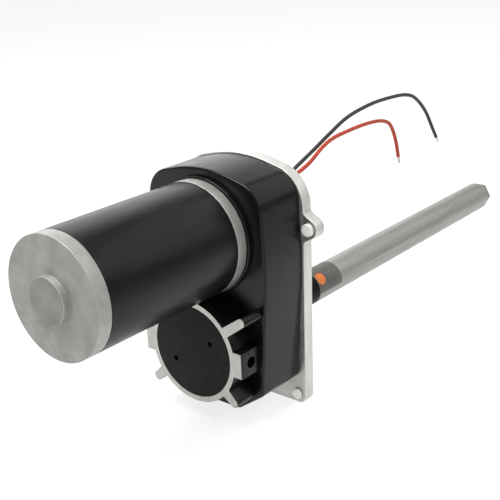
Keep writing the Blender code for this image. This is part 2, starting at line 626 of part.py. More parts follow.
def make_rod_end(rod_body):
    """A hexagonal head with a threaded hole, its corners at the sides, on a spigot inside the tube."""
    head_back, head_front = ROD_HEAD
    corners = [
        (ROD_HEAD_CORNER_RADIUS * math.cos(angle), ROD_HEAD_CORNER_RADIUS * math.sin(angle))
        for angle in (math.tau * corner / ROD_HEAD_SIDES for corner in range(ROD_HEAD_SIDES))
    ]
    end = extruded("rod_end", corners, head_back, head_front, (0, 0), "tube_steel", parent=rod_body)
    spigot_span = (head_back - ROD_SPIGOT_LENGTH, head_back + BREAKTHROUGH)
    combine(end, rod("rod_end_spigot", *spigot_span, ROD_BORE_RADIUS - GAP, (0, 0), "steel", 32), "UNION")
    hole_span = (head_front - ROD_THREAD_DEPTH, head_front + BREAKTHROUGH)
    drill(end, "rod_end_thread", *hole_span, ROD_THREAD_RADIUS, (0, 0), 24)


def make_rod(bodies):
    rod_body = bodies["rod"]
    tube("drive_nut", *NUT, SCREW_RADIUS + GAP, NUT_RADIUS, (0, 0), "bronze", 24, rod_body)
    span = (NUT[1] + GAP, ROD_HEAD[0] - GAP)
    tube("extension_tube", *span, ROD_BORE_RADIUS, ROD_RADIUS, (0, 0), "tube_steel", 32, rod_body)
    make_rod_end(rod_body)


def make_motor_body():
    axis = (0, MOTOR_AXIS_Z)
    can_span = (MOTOR_RIM_FRONT + GAP, MOTOR_CAN_FRONT)
    tube("motor_can", *can_span, MOTOR_BORE_RADIUS, MOTOR_RADIUS, axis, "black_paint", 48)
    pocket = MOTOR_BEARING_RADIUS + GAP
    pocket_floor = MOTOR_REAR - REAR_POCKET_DEPTH
    rear_profile = [
        (REAR_BOSS_BACK, 0), (REAR_BOSS_BACK, REAR_BOSS_RADIUS), (MOTOR_REAR, REAR_BOSS_RADIUS),
        (MOTOR_REAR, MOTOR_RADIUS - REAR_BELL_CHAMFER), (MOTOR_REAR + REAR_BELL_CHAMFER, MOTOR_RADIUS),
        (MOTOR_RIM_FRONT, MOTOR_RADIUS), (MOTOR_RIM_FRONT, pocket), (pocket_floor, pocket), (pocket_floor, 0),
    ]
    turned("motor_rear_bell", rear_profile, axis, "cast_aluminium", 48)
    shaft_bore = MOTOR_SHAFT_RADIUS + GAP
    rear_span = (MOTOR_REAR - GAP, MOTOR_RIM_FRONT - GAP)
    tube("motor_bearing_rear", *rear_span, shaft_bore, MOTOR_BEARING_RADIUS, axis, "steel", 20)
    tube("motor_bearing_front", *FRONT_BEARING_MOTOR, shaft_bore, MOTOR_BEARING_RADIUS, axis, "steel", 20)
    tube("brush_holder", *BRUSH_HOLDER, *BRUSH_HOLDER_RADII, axis, "insulation_board", 24)
    make_front_bell()


def make_front_bell():
    """The bell's neck holds the front bearing, and its spigot enters the case."""
    pocket = MOTOR_BEARING_RADIUS + GAP
    bell_back = MOTOR_CAN_FRONT + GAP
    pocket_floor = FRONT_BEARING_MOTOR[1] + GAP
    spigot_front = CASE_BACK + BELL_SPIGOT_REACH
    profile = [
        (BELL_NECK_BACK, pocket), (BELL_NECK_BACK, BELL_NECK_RADIUS), (bell_back, BELL_NECK_RADIUS),
        (bell_back, MOTOR_RADIUS), (MOTOR_BELL_FRONT, MOTOR_RADIUS), (MOTOR_BELL_FRONT, BELL_SPIGOT_RADIUS),
        (spigot_front, BELL_SPIGOT_RADIUS), (spigot_front, BELL_SHAFT_HOLE_RADIUS),
        (pocket_floor, BELL_SHAFT_HOLE_RADIUS), (pocket_floor, pocket),
    ]
    bell = turned("motor_front_bell", profile, (0, MOTOR_AXIS_Z), "cast_aluminium", 48)
    hole_span = through((BELL_NECK_BACK, MOTOR_BELL_FRONT))
    for side, word in SIDES:
        screw_axis = (side * MOTOR_SCREW[0], MOTOR_SCREW[1])
        drill(bell, f"bell_screw_hole_{word}", *hole_span, MOTOR_SCREW_SIZE["shank"] + GAP, screw_axis, 12)
    drill(bell, "bell_lead_hole", *hole_span, LEAD_HOLE_RADIUS, LEAD_HOLE)


def make_magnet(name, side):
    inner, outer = MAGNET_RADII
    angles = [MAGNET_HALF_ANGLE * (2 * step / MAGNET_STEPS - 1) for step in range(MAGNET_STEPS + 1)]
    arc = [(side * outer * math.cos(angle), outer * math.sin(angle)) for angle in angles]
    arc += [(side * inner * math.cos(angle), inner * math.sin(angle)) for angle in reversed(angles)]
    extruded(name, arc, *MAGNET, (0, MOTOR_AXIS_Z), "magnet")


def core_outline():
    """Laminations with a straight slot between each pair of teeth."""
    points = []
    for tooth in range(CORE_SLOTS):
        start = math.tau * tooth / CORE_SLOTS
        end = math.tau * (tooth + 1) / CORE_SLOTS
        for radius, base, sign in (
            (CORE_SLOT_BOTTOM, start, 1), (CORE_RADIUS, start, 1), (CORE_RADIUS, (start + end) / 2, 0),
            (CORE_RADIUS, end, -1), (CORE_SLOT_BOTTOM, end, -1),
        ):
            angle = base + sign * math.asin(CORE_HALF_SLOT / radius)
            points.append((radius * math.cos(angle), radius * math.sin(angle)))
    return points


def make_windings(rotor):
    axis = (0, MOTOR_AXIS_Z)
    bore, end_radius, radius = WINDING_RADII
    spans = {"rear": (WINDING_ENDS[0], CORE[0] - GAP), "front": (CORE[1] + GAP, WINDING_ENDS[1])}
    for word, (x_from, x_to) in spans.items():
        profile = [
            (x_from, bore), (x_from, end_radius), (x_from + WINDING_SHOULDER, radius),
            (x_to - WINDING_SHOULDER, radius), (x_to, end_radius), (x_to, bore),
        ]
        turned(f"winding_{word}", profile, axis, "copper", 20, rotor)


def make_rotor(bodies):
    axis = (0, MOTOR_AXIS_Z)
    rotor = bodies["rotor"]
    radius = MOTOR_SHAFT_RADIUS
    shaft_back, shaft_front = MOTOR_REAR + GAP, STAGE_ONE[1] + 4 * GAP
    profile = [
        (shaft_back, 0), (shaft_back, radius), (shaft_front - GAP, radius), (shaft_front, radius - GAP),
        (shaft_front, 0),
    ]
    turned("motor_shaft", profile, axis, "steel", 20, rotor)
    core = extruded("armature_core", core_outline(), *CORE, axis, "steel", parent=rotor)
    drill(core, "core_bore", *through(CORE), radius + GAP, axis, 20)
    make_windings(rotor)
    tube("commutator", *COMMUTATOR, radius + GAP, COMMUTATOR_RADIUS, axis, "copper", 20, rotor)
    for side, word in SIDES:
        low_y, high_y = sorted(side * brush_radius for brush_radius in BRUSH_RADII)
        brush_low = (BRUSH[0], low_y, MOTOR_AXIS_Z - BRUSH_HALF_HEIGHT)
        brush_high = (BRUSH[1], high_y, MOTOR_AXIS_Z + BRUSH_HALF_HEIGHT)
        box(f"brush_{word}", brush_low, brush_high, "carbon")
        make_magnet(f"magnet_{word}", side)


def smooth_route(points):
    """Catmull-Rom points through the route's own points, about LEAD_POINT_STEP apart."""
    route = [Vector(point) for point in points]
    route = [route[0] * 2 - route[1], *route, route[-1] * 2 - route[-2]]
    smooth = []
    for before, start, end, after in zip(route, route[1:], route[2:], route[3:]):
        steps = max(1, round((end - start).length / LEAD_POINT_STEP))
        for step in range(steps):
            t = step / steps
            smooth.append(0.5 * (
                2 * start + (end - before) * t + (2 * before - 5 * start + 4 * end - after) * t ** 2
                + (3 * start - before - 3 * end + after) * t ** 3
            ))
    return [*smooth, route[-2]]


def wire(name, points, radius, material_name):
    curve = bpy.data.curves.new(name, "CURVE")
    curve.dimensions = "3D"
    curve.bevel_depth = radius * MM
    curve.bevel_resolution = 2
    curve.use_fill_caps = True
    spline = curve.splines.new("POLY")
    spline.points.add(len(points) - 1)
    for spline_point, point in zip(spline.points, points):
        spline_point.co = (*(value * MM for value in point), 1.0)
    curve.materials.append(material(material_name))
    made = bpy.data.objects.new(name, curve)
    bpy.context.scene.collection.objects.link(made)


def make_grommet():
    profile = [
        (PLATE_BACK, 0), (PLATE_BACK, GROMMET_NECK_RADIUS), (PLATE_FRONT + GAP, GROMMET_NECK_RADIUS),
        (PLATE_FRONT + GAP, GROMMET_RADIUS), (GROMMET_FACE - 2 * GAP, GROMMET_RADIUS),
        (GROMMET_FACE, GROMMET_RADIUS - 2 * GAP), (GROMMET_FACE, 0),
    ]
    turned("grommet", profile, GROMMET_CENTRE, "rubber", 20)


def inner_route(y, offset):
    """From the motor through the case's rear wall, across the case and up to the grommet."""
    hole_y, hole_z = LEAD_HOLE[0] + offset, LEAD_HOLE[1]
    return [
        (3.0, hole_y, hole_z), (22.0, hole_y, hole_z), (34.0, hole_y - 3.0, hole_z + 3.0),
        (46.0, y + 1.5, GROMMET_CENTRE[1] - 1.5), (PLATE_BACK - 2 * GAP, y, GROMMET_CENTRE[1]),
    ]


def make_leads():
    for colour, y, route, offset in (
        ("black", BLACK_LEAD_Y, BLACK_ROUTE, INNER_LEAD_OFFSET),
        ("red", RED_LEAD_Y, RED_ROUTE, -INNER_LEAD_OFFSET),
    ):
        outside = smooth_route([(x, y, z) for x, z in route])
        wire(f"lead_{colour}", outside, LEAD_RADIUS, f"{colour}_insulation")
        direction = (outside[-1] - outside[-2]).normalized()
        strand_start = outside[-1] + direction * GAP
        strand = [strand_start, strand_start + direction * STRAND_LENGTH]
        wire(f"strand_{colour}", strand, STRAND_RADIUS, "tinned_copper")
        inside = smooth_route(inner_route(y, offset))
        wire(f"inner_lead_{colour}", inside, LEAD_RADIUS, f"{colour}_insulation")


def make_body_empties():
    """Each moving body's pieces are parented to an empty on its axis."""
    bodies = {}
    for name, z in (("rotor", MOTOR_AXIS_Z), ("idler", IDLER_AXIS_Z), ("screw", 0.0), ("rod", 0.0)):
        empty = bpy.data.objects.new(f"{name}_axis", None)
        bpy.context.scene.collection.objects.link(empty)
        empty.location.z = z * MM
        bodies[name] = empty
    return bodies


def main():
    clear_scene()
    bodies = make_body_empties()
    make_gear_case()
    make_bearing_cap()
    make_plate()
    make_screws()
    make_gears(bodies)
    make_screw_and_bearings(bodies)
    make_cover_tube()
    make_rod(bodies)
    make_motor_body()
    make_rotor(bodies)
    make_grommet()
    make_leads()


main()
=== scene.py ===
"""Looks of a parallel-drive linear actuator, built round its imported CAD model.

X runs along the lead screw and tube, Z is up towards the motor, and the -Y side faces the camera.
Sizes are in millimetres, and turned into metres where a mesh, a curve or an object's place is made.
"""

import json
import math

import bmesh
import bpy
from mathutils import Matrix, Vector


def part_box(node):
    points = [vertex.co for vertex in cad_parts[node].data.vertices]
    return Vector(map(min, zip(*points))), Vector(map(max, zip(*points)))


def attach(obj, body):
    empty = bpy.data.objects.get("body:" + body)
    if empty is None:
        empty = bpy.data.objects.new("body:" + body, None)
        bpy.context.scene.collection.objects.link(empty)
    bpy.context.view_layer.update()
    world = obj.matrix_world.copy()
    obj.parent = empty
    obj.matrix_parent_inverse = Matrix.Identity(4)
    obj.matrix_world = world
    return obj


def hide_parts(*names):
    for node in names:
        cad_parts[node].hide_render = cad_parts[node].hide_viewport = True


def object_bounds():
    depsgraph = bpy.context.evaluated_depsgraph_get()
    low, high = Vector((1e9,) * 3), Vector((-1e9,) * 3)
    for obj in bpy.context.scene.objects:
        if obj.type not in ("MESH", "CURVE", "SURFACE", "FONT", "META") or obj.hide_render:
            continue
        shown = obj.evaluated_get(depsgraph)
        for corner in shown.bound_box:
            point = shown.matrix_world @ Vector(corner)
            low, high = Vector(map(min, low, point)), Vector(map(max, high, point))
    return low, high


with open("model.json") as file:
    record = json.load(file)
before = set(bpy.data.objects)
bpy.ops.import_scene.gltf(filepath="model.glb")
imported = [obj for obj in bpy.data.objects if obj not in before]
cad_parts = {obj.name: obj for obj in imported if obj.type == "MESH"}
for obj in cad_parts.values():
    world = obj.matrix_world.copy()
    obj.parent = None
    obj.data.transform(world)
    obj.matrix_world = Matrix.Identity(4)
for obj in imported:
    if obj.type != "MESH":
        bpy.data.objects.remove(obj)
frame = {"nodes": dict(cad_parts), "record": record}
cad_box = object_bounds()

MM = 0.001
SHARP_ANGLE = math.radians(32)

# Segments round a turned shape
ROUND_STEPS = 160
MOTOR_STEPS = 224
TUBE_STEPS = 128
BORE_STEPS = 96
SMALL_STEPS = 64
HOLE_STEPS = 48
CAP_HOLE_STEPS = 40

# The gap between neighbours, how far a cutter passes a face, and how far joined shapes overlap
GAP = 0.3
BREAKTHROUGH = 1.0
OVERLAP = 1.0
SIDES = ((-1, "right"), (1, "left"))

# Camera
CAMERA_PLACE = (-0.43096, -0.41260, 0.29169)
CAMERA_AZIMUTH = math.radians(-50.237)
CAMERA_ELEVATION = math.radians(20.334)
CAMERA_ROLL = math.radians(-2.326)
CAMERA_LENS = 70.37
SENSOR_WIDTH = 36.0

# Leads: the routes' points (x, z); each lead keeps its own y
LEAD_RADIUS = 1.4
LEAD_START = (69.3, 110.5)
LEAD_STEP = 1.6
STRAND_COUNT = 7
STRAND_LENGTH = 5.5
STRAND_WIRE_RADIUS = 0.3
STRAND_LAY_RADIUS = 0.58
STRAND_TWIST = 1.6
STRAND_STEPS = 10
LEADS = {
    "black": {
        "y": -30.0,
        "length": 0.2285,
        "route": (
            LEAD_START, (74.0, 110.8), (83.0, 114.3), (101.0, 120.6), (121.0, 128.1), (144.0, 135.5),
            (173.0, 139.0), (199.0, 139.1), (223.0, 137.2), (239.0, 131.8), (255.5, 118.5), (268.0, 102.0),
            (274.7, 93.0),
        ),
    },
    "red": {
        "y": -34.0,
        "length": 0.1610,
        "route": (
            LEAD_START, (77.3, 111.0), (91.0, 114.7), (106.0, 121.9), (119.0, 125.6), (138.0, 127.0),
            (161.0, 127.3), (180.0, 125.8), (192.5, 121.9), (199.0, 115.2), (204.3, 104.5), (208.0, 92.0),
        ),
    },
}

# Gear case and mounting plate, seen along X
CASE_BACK = 18.3
CASE_WALL = 4.0
CASE_ROUNDING = 1.6
ARCH_TOP = 127.0
ARCH_RADIUS = 100.0
SHOULDER_HALF_WIDTH = 48.0
SHOULDER_Z = 114.5
SHOULDER_RADIUS = 20.0
CASE_HALF_WIDTH = 50.8
CASE_WIDEST_Z = 55.0
CASE_BOW_RADIUS = 300.0
CASE_LOW_HALF_WIDTH = 45.0
CHAMFER_TOP_Z = -29.0
CHAMFER_HALF_WIDTH = 23.0
CASE_BOTTOM_Z = -45.0
CASE_CORNER_RADIUS = 6.0
CHAMFER_ANGLE = math.atan2(CHAMFER_TOP_Z - CASE_BOTTOM_Z, CASE_LOW_HALF_WIDTH - CHAMFER_HALF_WIDTH)
HOUSING_RADIUS = 37.0
LUG_ROOT = 35.0
LUG_TIP_ROUNDNESS = 0.9
UPPER_LUG = {"angle": 36.0, "reach": 57.0, "root_width": 7.4, "tip_width": 6.6}
LOWER_LUG = {"angle": -39.5, "reach": 48.2, "root_width": 8.4, "tip_width": 5.8}
PAD_REACH = 42.8
PAD_HALF_HEIGHT = 9.2
PAD_HOLE_X = 10.0
PAD_HOLE_RADIUS = 4.0
PAD_HOLE_DEPTH = 7.6
CAST_EDGE = 0.3
MOTOR_SEAT_RADIUS = 40.5
MOTOR_SEAT_BACK = 15.2
SHAFT_HOLE_RADIUS = 9.0
LEAD_HOLE = (-20.0, 100.0)
LEAD_HOLE_RADIUS = 4.6
AXLE_HOLE_FLOOR = 1.2
AXLE_HOLE_DEPTH = 5.0
BOSS_RADIUS = 5.8
BOSS_HOLE_DEPTH = 14.0
COVER_HOLE_RADIUS = 2.6
PLATE_BACK = 58.0
PLATE_HALF_WIDTH = 52.3
PLATE_LOW_HALF_WIDTH = 51.3
PLATE_SHOULDER_RADIUS = 27.0
PLATE_OVERHANG_TOP = 0.6
PLATE_CORNER_RADIUS = 6.0
PLATE_HUB_RADIUS = 22.0
FRONT_BEARING_FRONT = 61.0
COLLAR_BORE_RADIUS = 13.1
EAR_REACH = 62.8
EAR_SCREW = (56.2, 80.3)
EAR_HALF_HEIGHT = 4.0
EAR_FLARE_HEIGHT = 6.0
EAR_FLARE_RADIUS = 3.0
EAR_HOLE_RADIUS = 3.2
CORNER_SCREW = (44.4, -43.8)
CORNER_HOLE_RADIUS = 2.7
COVER_SCREWS = ((15.0, 112.5), (40.0, -13.0))
COVER_SEAT_X = 62.0
COUNTERBORE_RADIUS = 4.7
GROMMET_CENTRE = (-32.0, 110.5)
GROMMET_NECK_RADIUS = 4.3
GROMMET_HOLE_RADIUS = 4.7

# Screws: head height, shank radius, and whether the head is at the back
SCREWS = {
    "ear_screw": (2.2, 2.9, True),
    "corner_screw": (1.8, 2.4, True),
    "cover_screw_upper": (4.2, 2.3, False),
    "cover_screw_lower": (4.2, 2.3, False),
}
SOCKET_SHARE = 0.55

# Bearing cap's spanner holes
CAP_HOLE_CENTRE = (16.0, -9.5)
CAP_HOLE_RADIUS = 2.0
CAP_HOLE_DEPTH = 3.0

# Motor
CAN_WALL = 3.0
REAR_BOSS_RADIUS = 14.9
REAR_BOSS_HEIGHT = 4.3
REAR_BELL_CHAMFER = 0.5
REAR_POCKET_DEPTH = 0.6
MOTOR_BELL_FRONT = 14.9
FRONT_POCKET_FLOOR = 11.5
BELL_NECK_RADIUS = 18.0
BELL_SPIGOT_RADIUS = 8.6
BELL_SHAFT_HOLE_RADIUS = 6.0
MOTOR_SCREW = (20.0, 84.0)
BELL_SCREW_HOLE_RADIUS = 2.6

# Tubes and rod
TUBE_BORE_RADIUS = 11.2
TENON_RADIUS = 11.9
ROD_BORE_RADIUS = 7.6
ROD_SPIGOT_LENGTH = 22.0
ROD_HEAD_SIDES = 6
ROD_HEAD_CHAMFER = 0.5
ROD_THREAD_RADIUS = 5.1
ROD_THREAD_DEPTH = 16.0

# Room
FLOOR_HALF_SIZE = 100.0
FLOOR_DROP = 0.5
FLOOR_GREY = 0.3
OBJECT_MIDDLE = (0.1, 0.0, 0.04)
FLOOR_EMISSION = 0.8
# Painted shade on the floor: its glow falls to this share of FLOOR_EMISSION over this span of Y in metres
FLOOR_SHADE = 0.3
FLOOR_SHADE_Y = (-0.45, -0.22)
BRIGHT_DIRECTION = (0.45, 0.85, 0.25)
WORLD_DIM = 0.26
WORLD_BRIGHT = 1.8
WORLD_TURN = 0.68

# Softboxes: name, place and size in metres, power in watts
LIGHTS = (
    ("overhead", (0.55, 0.95, 1.25), (1.2, 1.0), 3.0),
    ("right", (1.25, -0.75, 1.1), (1.8, 1.5), 7.0),
    ("fill", (-0.1, -1.3, 1.1), (1.2, 1.2), 8.0),
    ("key", (-0.5, 0.15, 1.15), (0.9, 0.4), 18.0),
)

# Sticker on the tube, with angles about the tube's axis from -Y towards +Z
LABEL_BACK = 132.6
LABEL_FRONT = 161.0
LABEL_LOW = math.radians(-8)
LABEL_HIGH = math.radians(150)
FILM = 0.12
SPOT_RADIUS = 5.0
SPOT_X = 137.0
SPOT_ANGLE = math.radians(43)
SPOT_RINGS = 8
SPOT_LIFT = 0.04
SPOT_INSET = 0.05
LABEL_STEPS = 48

# Bump and noise
NOISE_MIDDLE = (0.3, 0.7)
PATCH_SHARE = 0.6
GRAIN_DEPTH = 0.2
TURNING_DEPTH = 0.05
TURNING_SCALE = 260.0
TURNING_WANDER = 0.4

# The rear faces that get a surface of their own, among them darker copies of a metal as painted shade: how
# near they lie to the plane, and how they face
FACE_TOLERANCE = 0.01
REAR_FACING = -0.9


def srgb(red, green, blue):
    """A linear colour from the three 0 to 255 values of a display colour."""
    def linear(value):
        share = value / 255
        return share / 12.92 if share <= 0.04045 else ((share + 0.055) / 1.055) ** 2.4

    return (linear(red), linear(green), linear(blue))


# Surfaces. mottle is the size of the mottling in mm along X, Y and Z, and grain that of the fine bump.
SURFACES = {
    "can_paint": dict(colour=(0.0065, 0.0065, 0.0067), roughness=0.31, mottle=(60, 14, 14), vary=0.3,
                      rough_vary=0.05, grain=0.7, bump=0.03, specular=0.24),
    "case_paint": dict(colour=(0.0045, 0.0045, 0.0047), roughness=0.25, mottle=(26, 26, 26), vary=0.35,
                       rough_vary=0.05, grain=1.4, bump=0.025, specular=0.27),
    "machined_face": dict(colour=srgb(180, 181, 175), roughness=0.42, mottle=(9, 9, 9), vary=0.1,
                          rough_vary=0.08, grain=0.5, bump=0.05, metallic=0.8, rings=0.2),
    "cap_paint": dict(colour=(0.012, 0.012, 0.0118), roughness=0.5, mottle=(8, 8, 8), vary=0.2,
                      rough_vary=0.05, grain=0.35, bump=0.08, specular=0.09),
    "plate_metal": dict(colour=srgb(206, 207, 202), roughness=0.42, mottle=(7, 7, 30), vary=0.12,
                        rough_vary=0.1, grain=0.6, bump=0.08, metallic=0.45),
    # The plate's back face: a darker, more mirror-like copy of plate_metal, painted shade for the face turned
    # away from the lights
    "plate_back_painted_shade": dict(colour=srgb(176, 176, 172), roughness=0.34, mottle=(9, 9, 9), vary=0.12,
                       rough_vary=0.08, grain=0.6, bump=0.06, metallic=0.95),
    # The rear bell's back face: a darker copy of cast_metal, painted shade for the face turned away from the
    # lights
    "cast_face_painted_shade": dict(colour=srgb(143, 143, 139), roughness=0.52, mottle=(11, 11, 11), vary=0.14,
                      rough_vary=0.08, grain=0.55, bump=0.25, metallic=0.4),
    "boss_face": dict(colour=srgb(126, 126, 122), roughness=0.52, mottle=(11, 11, 11), vary=0.14,
                      rough_vary=0.08, grain=0.55, bump=0.25, metallic=0.4),
    "cast_metal": dict(colour=srgb(163, 163, 159), roughness=0.52, mottle=(11, 11, 11), vary=0.14,
                       rough_vary=0.08, grain=0.55, bump=0.2, metallic=0.55),
    "tube_metal": dict(colour=srgb(150, 151, 146), roughness=0.42, mottle=(42, 3.2, 3.2), vary=0.2,
                       rough_vary=0.12, grain=0.5, bump=0.1, metallic=0.4, streaks=(160, 0.9, 0.9)),
    "rod_metal": dict(colour=srgb(190, 191, 188), roughness=0.3, mottle=(60, 4, 4), vary=0.1,
                      rough_vary=0.04, grain=0.4, bump=0.015, metallic=0.95),
    "collar_paint": dict(colour=(0.005, 0.005, 0.005), roughness=0.42, mottle=(20, 5, 5), vary=0.25,
                         rough_vary=0.06, grain=0.5, bump=0.06, specular=0.06),
    "screw_metal": dict(colour=srgb(215, 215, 211), roughness=0.36, mottle=(2.5, 2.5, 2.5), vary=0.14,
                        rough_vary=0.1, grain=0.4, bump=0.08, metallic=0.8),
    "disc_metal": dict(colour=srgb(236, 236, 232), roughness=0.5, mottle=(2.5, 2.5, 2.5), vary=0.12,
                       rough_vary=0.1, grain=0.4, bump=0.1, metallic=0.15),
    "bearing_metal": dict(colour=srgb(190, 190, 188), roughness=0.28, mottle=(6, 6, 6), vary=0.1,
                          rough_vary=0.06, grain=0.4, bump=0.04, metallic=0.95),
    "gear_metal": dict(colour=srgb(170, 170, 168), roughness=0.35, mottle=(5, 5, 5), vary=0.15,
                       rough_vary=0.1, grain=0.5, bump=0.08, metallic=0.95),
    "copper": dict(colour=srgb(184, 115, 70), roughness=0.38, mottle=(4, 4, 4), vary=0.25,
                   rough_vary=0.1, grain=0.6, bump=0.15, metallic=0.9),
    "bronze_metal": dict(colour=srgb(172, 136, 80), roughness=0.4, mottle=(6, 6, 6), vary=0.18,
                         rough_vary=0.08, grain=0.5, bump=0.08, metallic=0.9),
    "ferrite": dict(colour=(0.05, 0.05, 0.053), roughness=0.7, mottle=(5, 5, 5), vary=0.25,
                    rough_vary=0.08, grain=0.8, bump=0.2),
    "carbon": dict(colour=(0.02, 0.02, 0.02), roughness=0.75, mottle=(3, 3, 3), vary=0.3,
                   rough_vary=0.06, grain=0.4, bump=0.15),
    "board": dict(colour=(0.19, 0.09, 0.03), roughness=0.6, mottle=(3, 12, 12), vary=0.25,
                  rough_vary=0.06, grain=0.5, bump=0.1),
    "rubber": dict(colour=(0.012, 0.012, 0.012), roughness=0.62, mottle=(3, 3, 3), vary=0.2,
                   rough_vary=0.06, grain=0.4, bump=0.1),
    "black_pvc": dict(colour=srgb(47, 48, 47), roughness=0.42, mottle=(9, 9, 9), vary=0.2,
                      rough_vary=0.06, grain=0.6, bump=0.06, specular=0.35),
    "red_pvc": dict(colour=srgb(174, 62, 38), roughness=0.42, mottle=(9, 9, 9), vary=0.16,
                    rough_vary=0.06, grain=0.6, bump=0.06, specular=0.35),
    "tinned": dict(colour=srgb(205, 203, 198), roughness=0.3, mottle=(2, 2, 2), vary=0.15,
                   rough_vary=0.08, grain=0.3, bump=0.06, metallic=0.9),
    "label_film": dict(colour=srgb(92, 92, 89), roughness=0.5, mottle=(5, 5, 5), vary=0.1,
                       rough_vary=0.05, grain=0.5, bump=0.04, specular=0.3),
    "label_orange": dict(colour=srgb(214, 120, 58), roughness=0.5, mottle=(4, 4, 4), vary=0.07,
                         rough_vary=0.05, grain=0.5, bump=0.04, specular=0.3),
}

# The surface of each of the record's material slots
SLOT_SURFACES = {
    "black_paint": "case_paint",
    "cap_black": "cap_paint",
    "plate_aluminium": "plate_metal",
    "cast_aluminium": "cast_metal",
    "screw_steel": "screw_metal",
    "bearing_steel": "bearing_metal",
    "gear_steel": "gear_metal",
    "winding_copper": "copper",
    "bronze": "bronze_metal",
    "magnet_ferrite": "ferrite",
    "brush_carbon": "carbon",
    "insulation_board": "board",
    "tube_steel": "tube_metal",
    "collar_black": "collar_paint",
    "rubber_black": "rubber",
    "lead_black": "black_pvc",
    "lead_red": "red_pvc",
    "tinned_copper": "tinned",
}
NODE_SLOTS = {part["node"]: part["material_slot"] for part in frame["record"]["subparts"]}


def noise(tree, place, sizes, detail, label):
    """Noise whose features are about sizes = (x, y, z) mm, in the object's own coordinates."""
    mapping = tree.nodes.new("ShaderNodeMapping")
    mapping.label = label
    mapping.inputs["Scale"].default_value = [1 / (size * MM) for size in sizes]
    tree.links.new(place.outputs["Object"], mapping.inputs["Vector"])
    texture = tree.nodes.new("ShaderNodeTexNoise")
    texture.label = label
    texture.inputs["Scale"].default_value = 1.0
    texture.inputs["Detail"].default_value = detail
    tree.links.new(mapping.outputs["Vector"], texture.inputs["Vector"])
    return texture.outputs["Fac"]


def ranged(tree, value, low, high):
    """The value's middle range spread over low to high."""
    node = tree.nodes.new("ShaderNodeMapRange")
    node.inputs["From Min"].default_value, node.inputs["From Max"].default_value = NOISE_MIDDLE
    node.inputs["To Min"].default_value = low
    node.inputs["To Max"].default_value = high
    tree.links.new(value, node.inputs["Value"])
    return node.outputs["Result"]


def turning_marks(tree, place):
    """Fine rings about the X axis, as a facing tool leaves."""
    rings = tree.nodes.new("ShaderNodeTexWave")
    rings.wave_type = "RINGS"
    rings.rings_direction = "X"
    rings.inputs["Scale"].default_value = TURNING_SCALE
    rings.inputs["Distortion"].default_value = TURNING_WANDER
    tree.links.new(place.outputs["Object"], rings.inputs["Vector"])
    return rings.outputs["Fac"]


def surface(name):
    """A Principled material with mottled colour and roughness and a fine bump, made once."""
    if name in bpy.data.materials:
        return bpy.data.materials[name]
    facts = SURFACES[name]
    made = bpy.data.materials.new(name)
    made.use_nodes = True
    tree = made.node_tree
    shader = tree.nodes["Principled BSDF"]
    shader.inputs["Metallic"].default_value = facts.get("metallic", 0.0)
    shader.inputs["Specular IOR Level"].default_value = facts.get("specular", 0.5)
    place = tree.nodes.new("ShaderNodeTexCoord")

    mottle = noise(tree, place, facts["mottle"], 4.0, "mottling")
    if "streaks" in facts:
        streaks = noise(tree, place, facts["streaks"], 2.0, "drawing streaks")
        mixed = tree.nodes.new("ShaderNodeMath")
        mixed.operation = "MULTIPLY_ADD"
        tree.links.new(streaks, mixed.inputs[0])
        mixed.inputs[1].default_value = 0.5
        halved = tree.nodes.new("ShaderNodeMath")
        halved.operation = "MULTIPLY"
        halved.inputs[1].default_value = 0.5
        tree.links.new(mottle, halved.inputs[0])
        tree.links.new(halved.outputs[0], mixed.inputs[2])
        mottle = mixed.outputs[0]

    tone = tree.nodes.new("ShaderNodeMix")
    tone.data_type = "RGBA"
    dark = [channel * (1 - facts["vary"]) for channel in facts["colour"]]
    light = [min(1.0, channel * (1 + facts["vary"])) for channel in facts["colour"]]
    tone.inputs["A"].default_value = (*dark, 1.0)
    tone.inputs["B"].default_value = (*light, 1.0)
    tree.links.new(ranged(tree, mottle, 0.0, 1.0), tone.inputs["Factor"])
    tree.links.new(tone.outputs["Result"], shader.inputs["Base Color"])

    low = facts["roughness"] - facts["rough_vary"]
    high = facts["roughness"] + facts["rough_vary"]
    patches = noise(tree, place, [size * PATCH_SHARE for size in facts["mottle"]], 3.0, "roughness patches")
    tree.links.new(ranged(tree, patches, low, high), shader.inputs["Roughness"])

    bump = tree.nodes.new("ShaderNodeBump")
    bump.inputs["Strength"].default_value = facts["bump"]
    bump.inputs["Distance"].default_value = GRAIN_DEPTH * MM
    grain = noise(tree, place, [facts["grain"]] * 3, 3.0, "grain")
    tree.links.new(grain, bump.inputs["Height"])
    normal = bump.outputs["Normal"]
    if "rings" in facts:
        turned_bump = tree.nodes.new("ShaderNodeBump")
        turned_bump.inputs["Strength"].default_value = facts["rings"]
        turned_bump.inputs["Distance"].default_value = TURNING_DEPTH * MM
        tree.links.new(turning_marks(tree, place), turned_bump.inputs["Height"])
        tree.links.new(normal, turned_bump.inputs["Normal"])
        normal = turned_bump.outputs["Normal"]
    tree.links.new(normal, shader.inputs["Normal"])
    return made


def node_span(node):
    """A turned node's two ends along X, its radius and the height of its axis."""
    low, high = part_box(node)
    return low.x / MM, high.x / MM, (high.z - low.z) / 2 / MM, (high.z + low.z) / 2 / MM


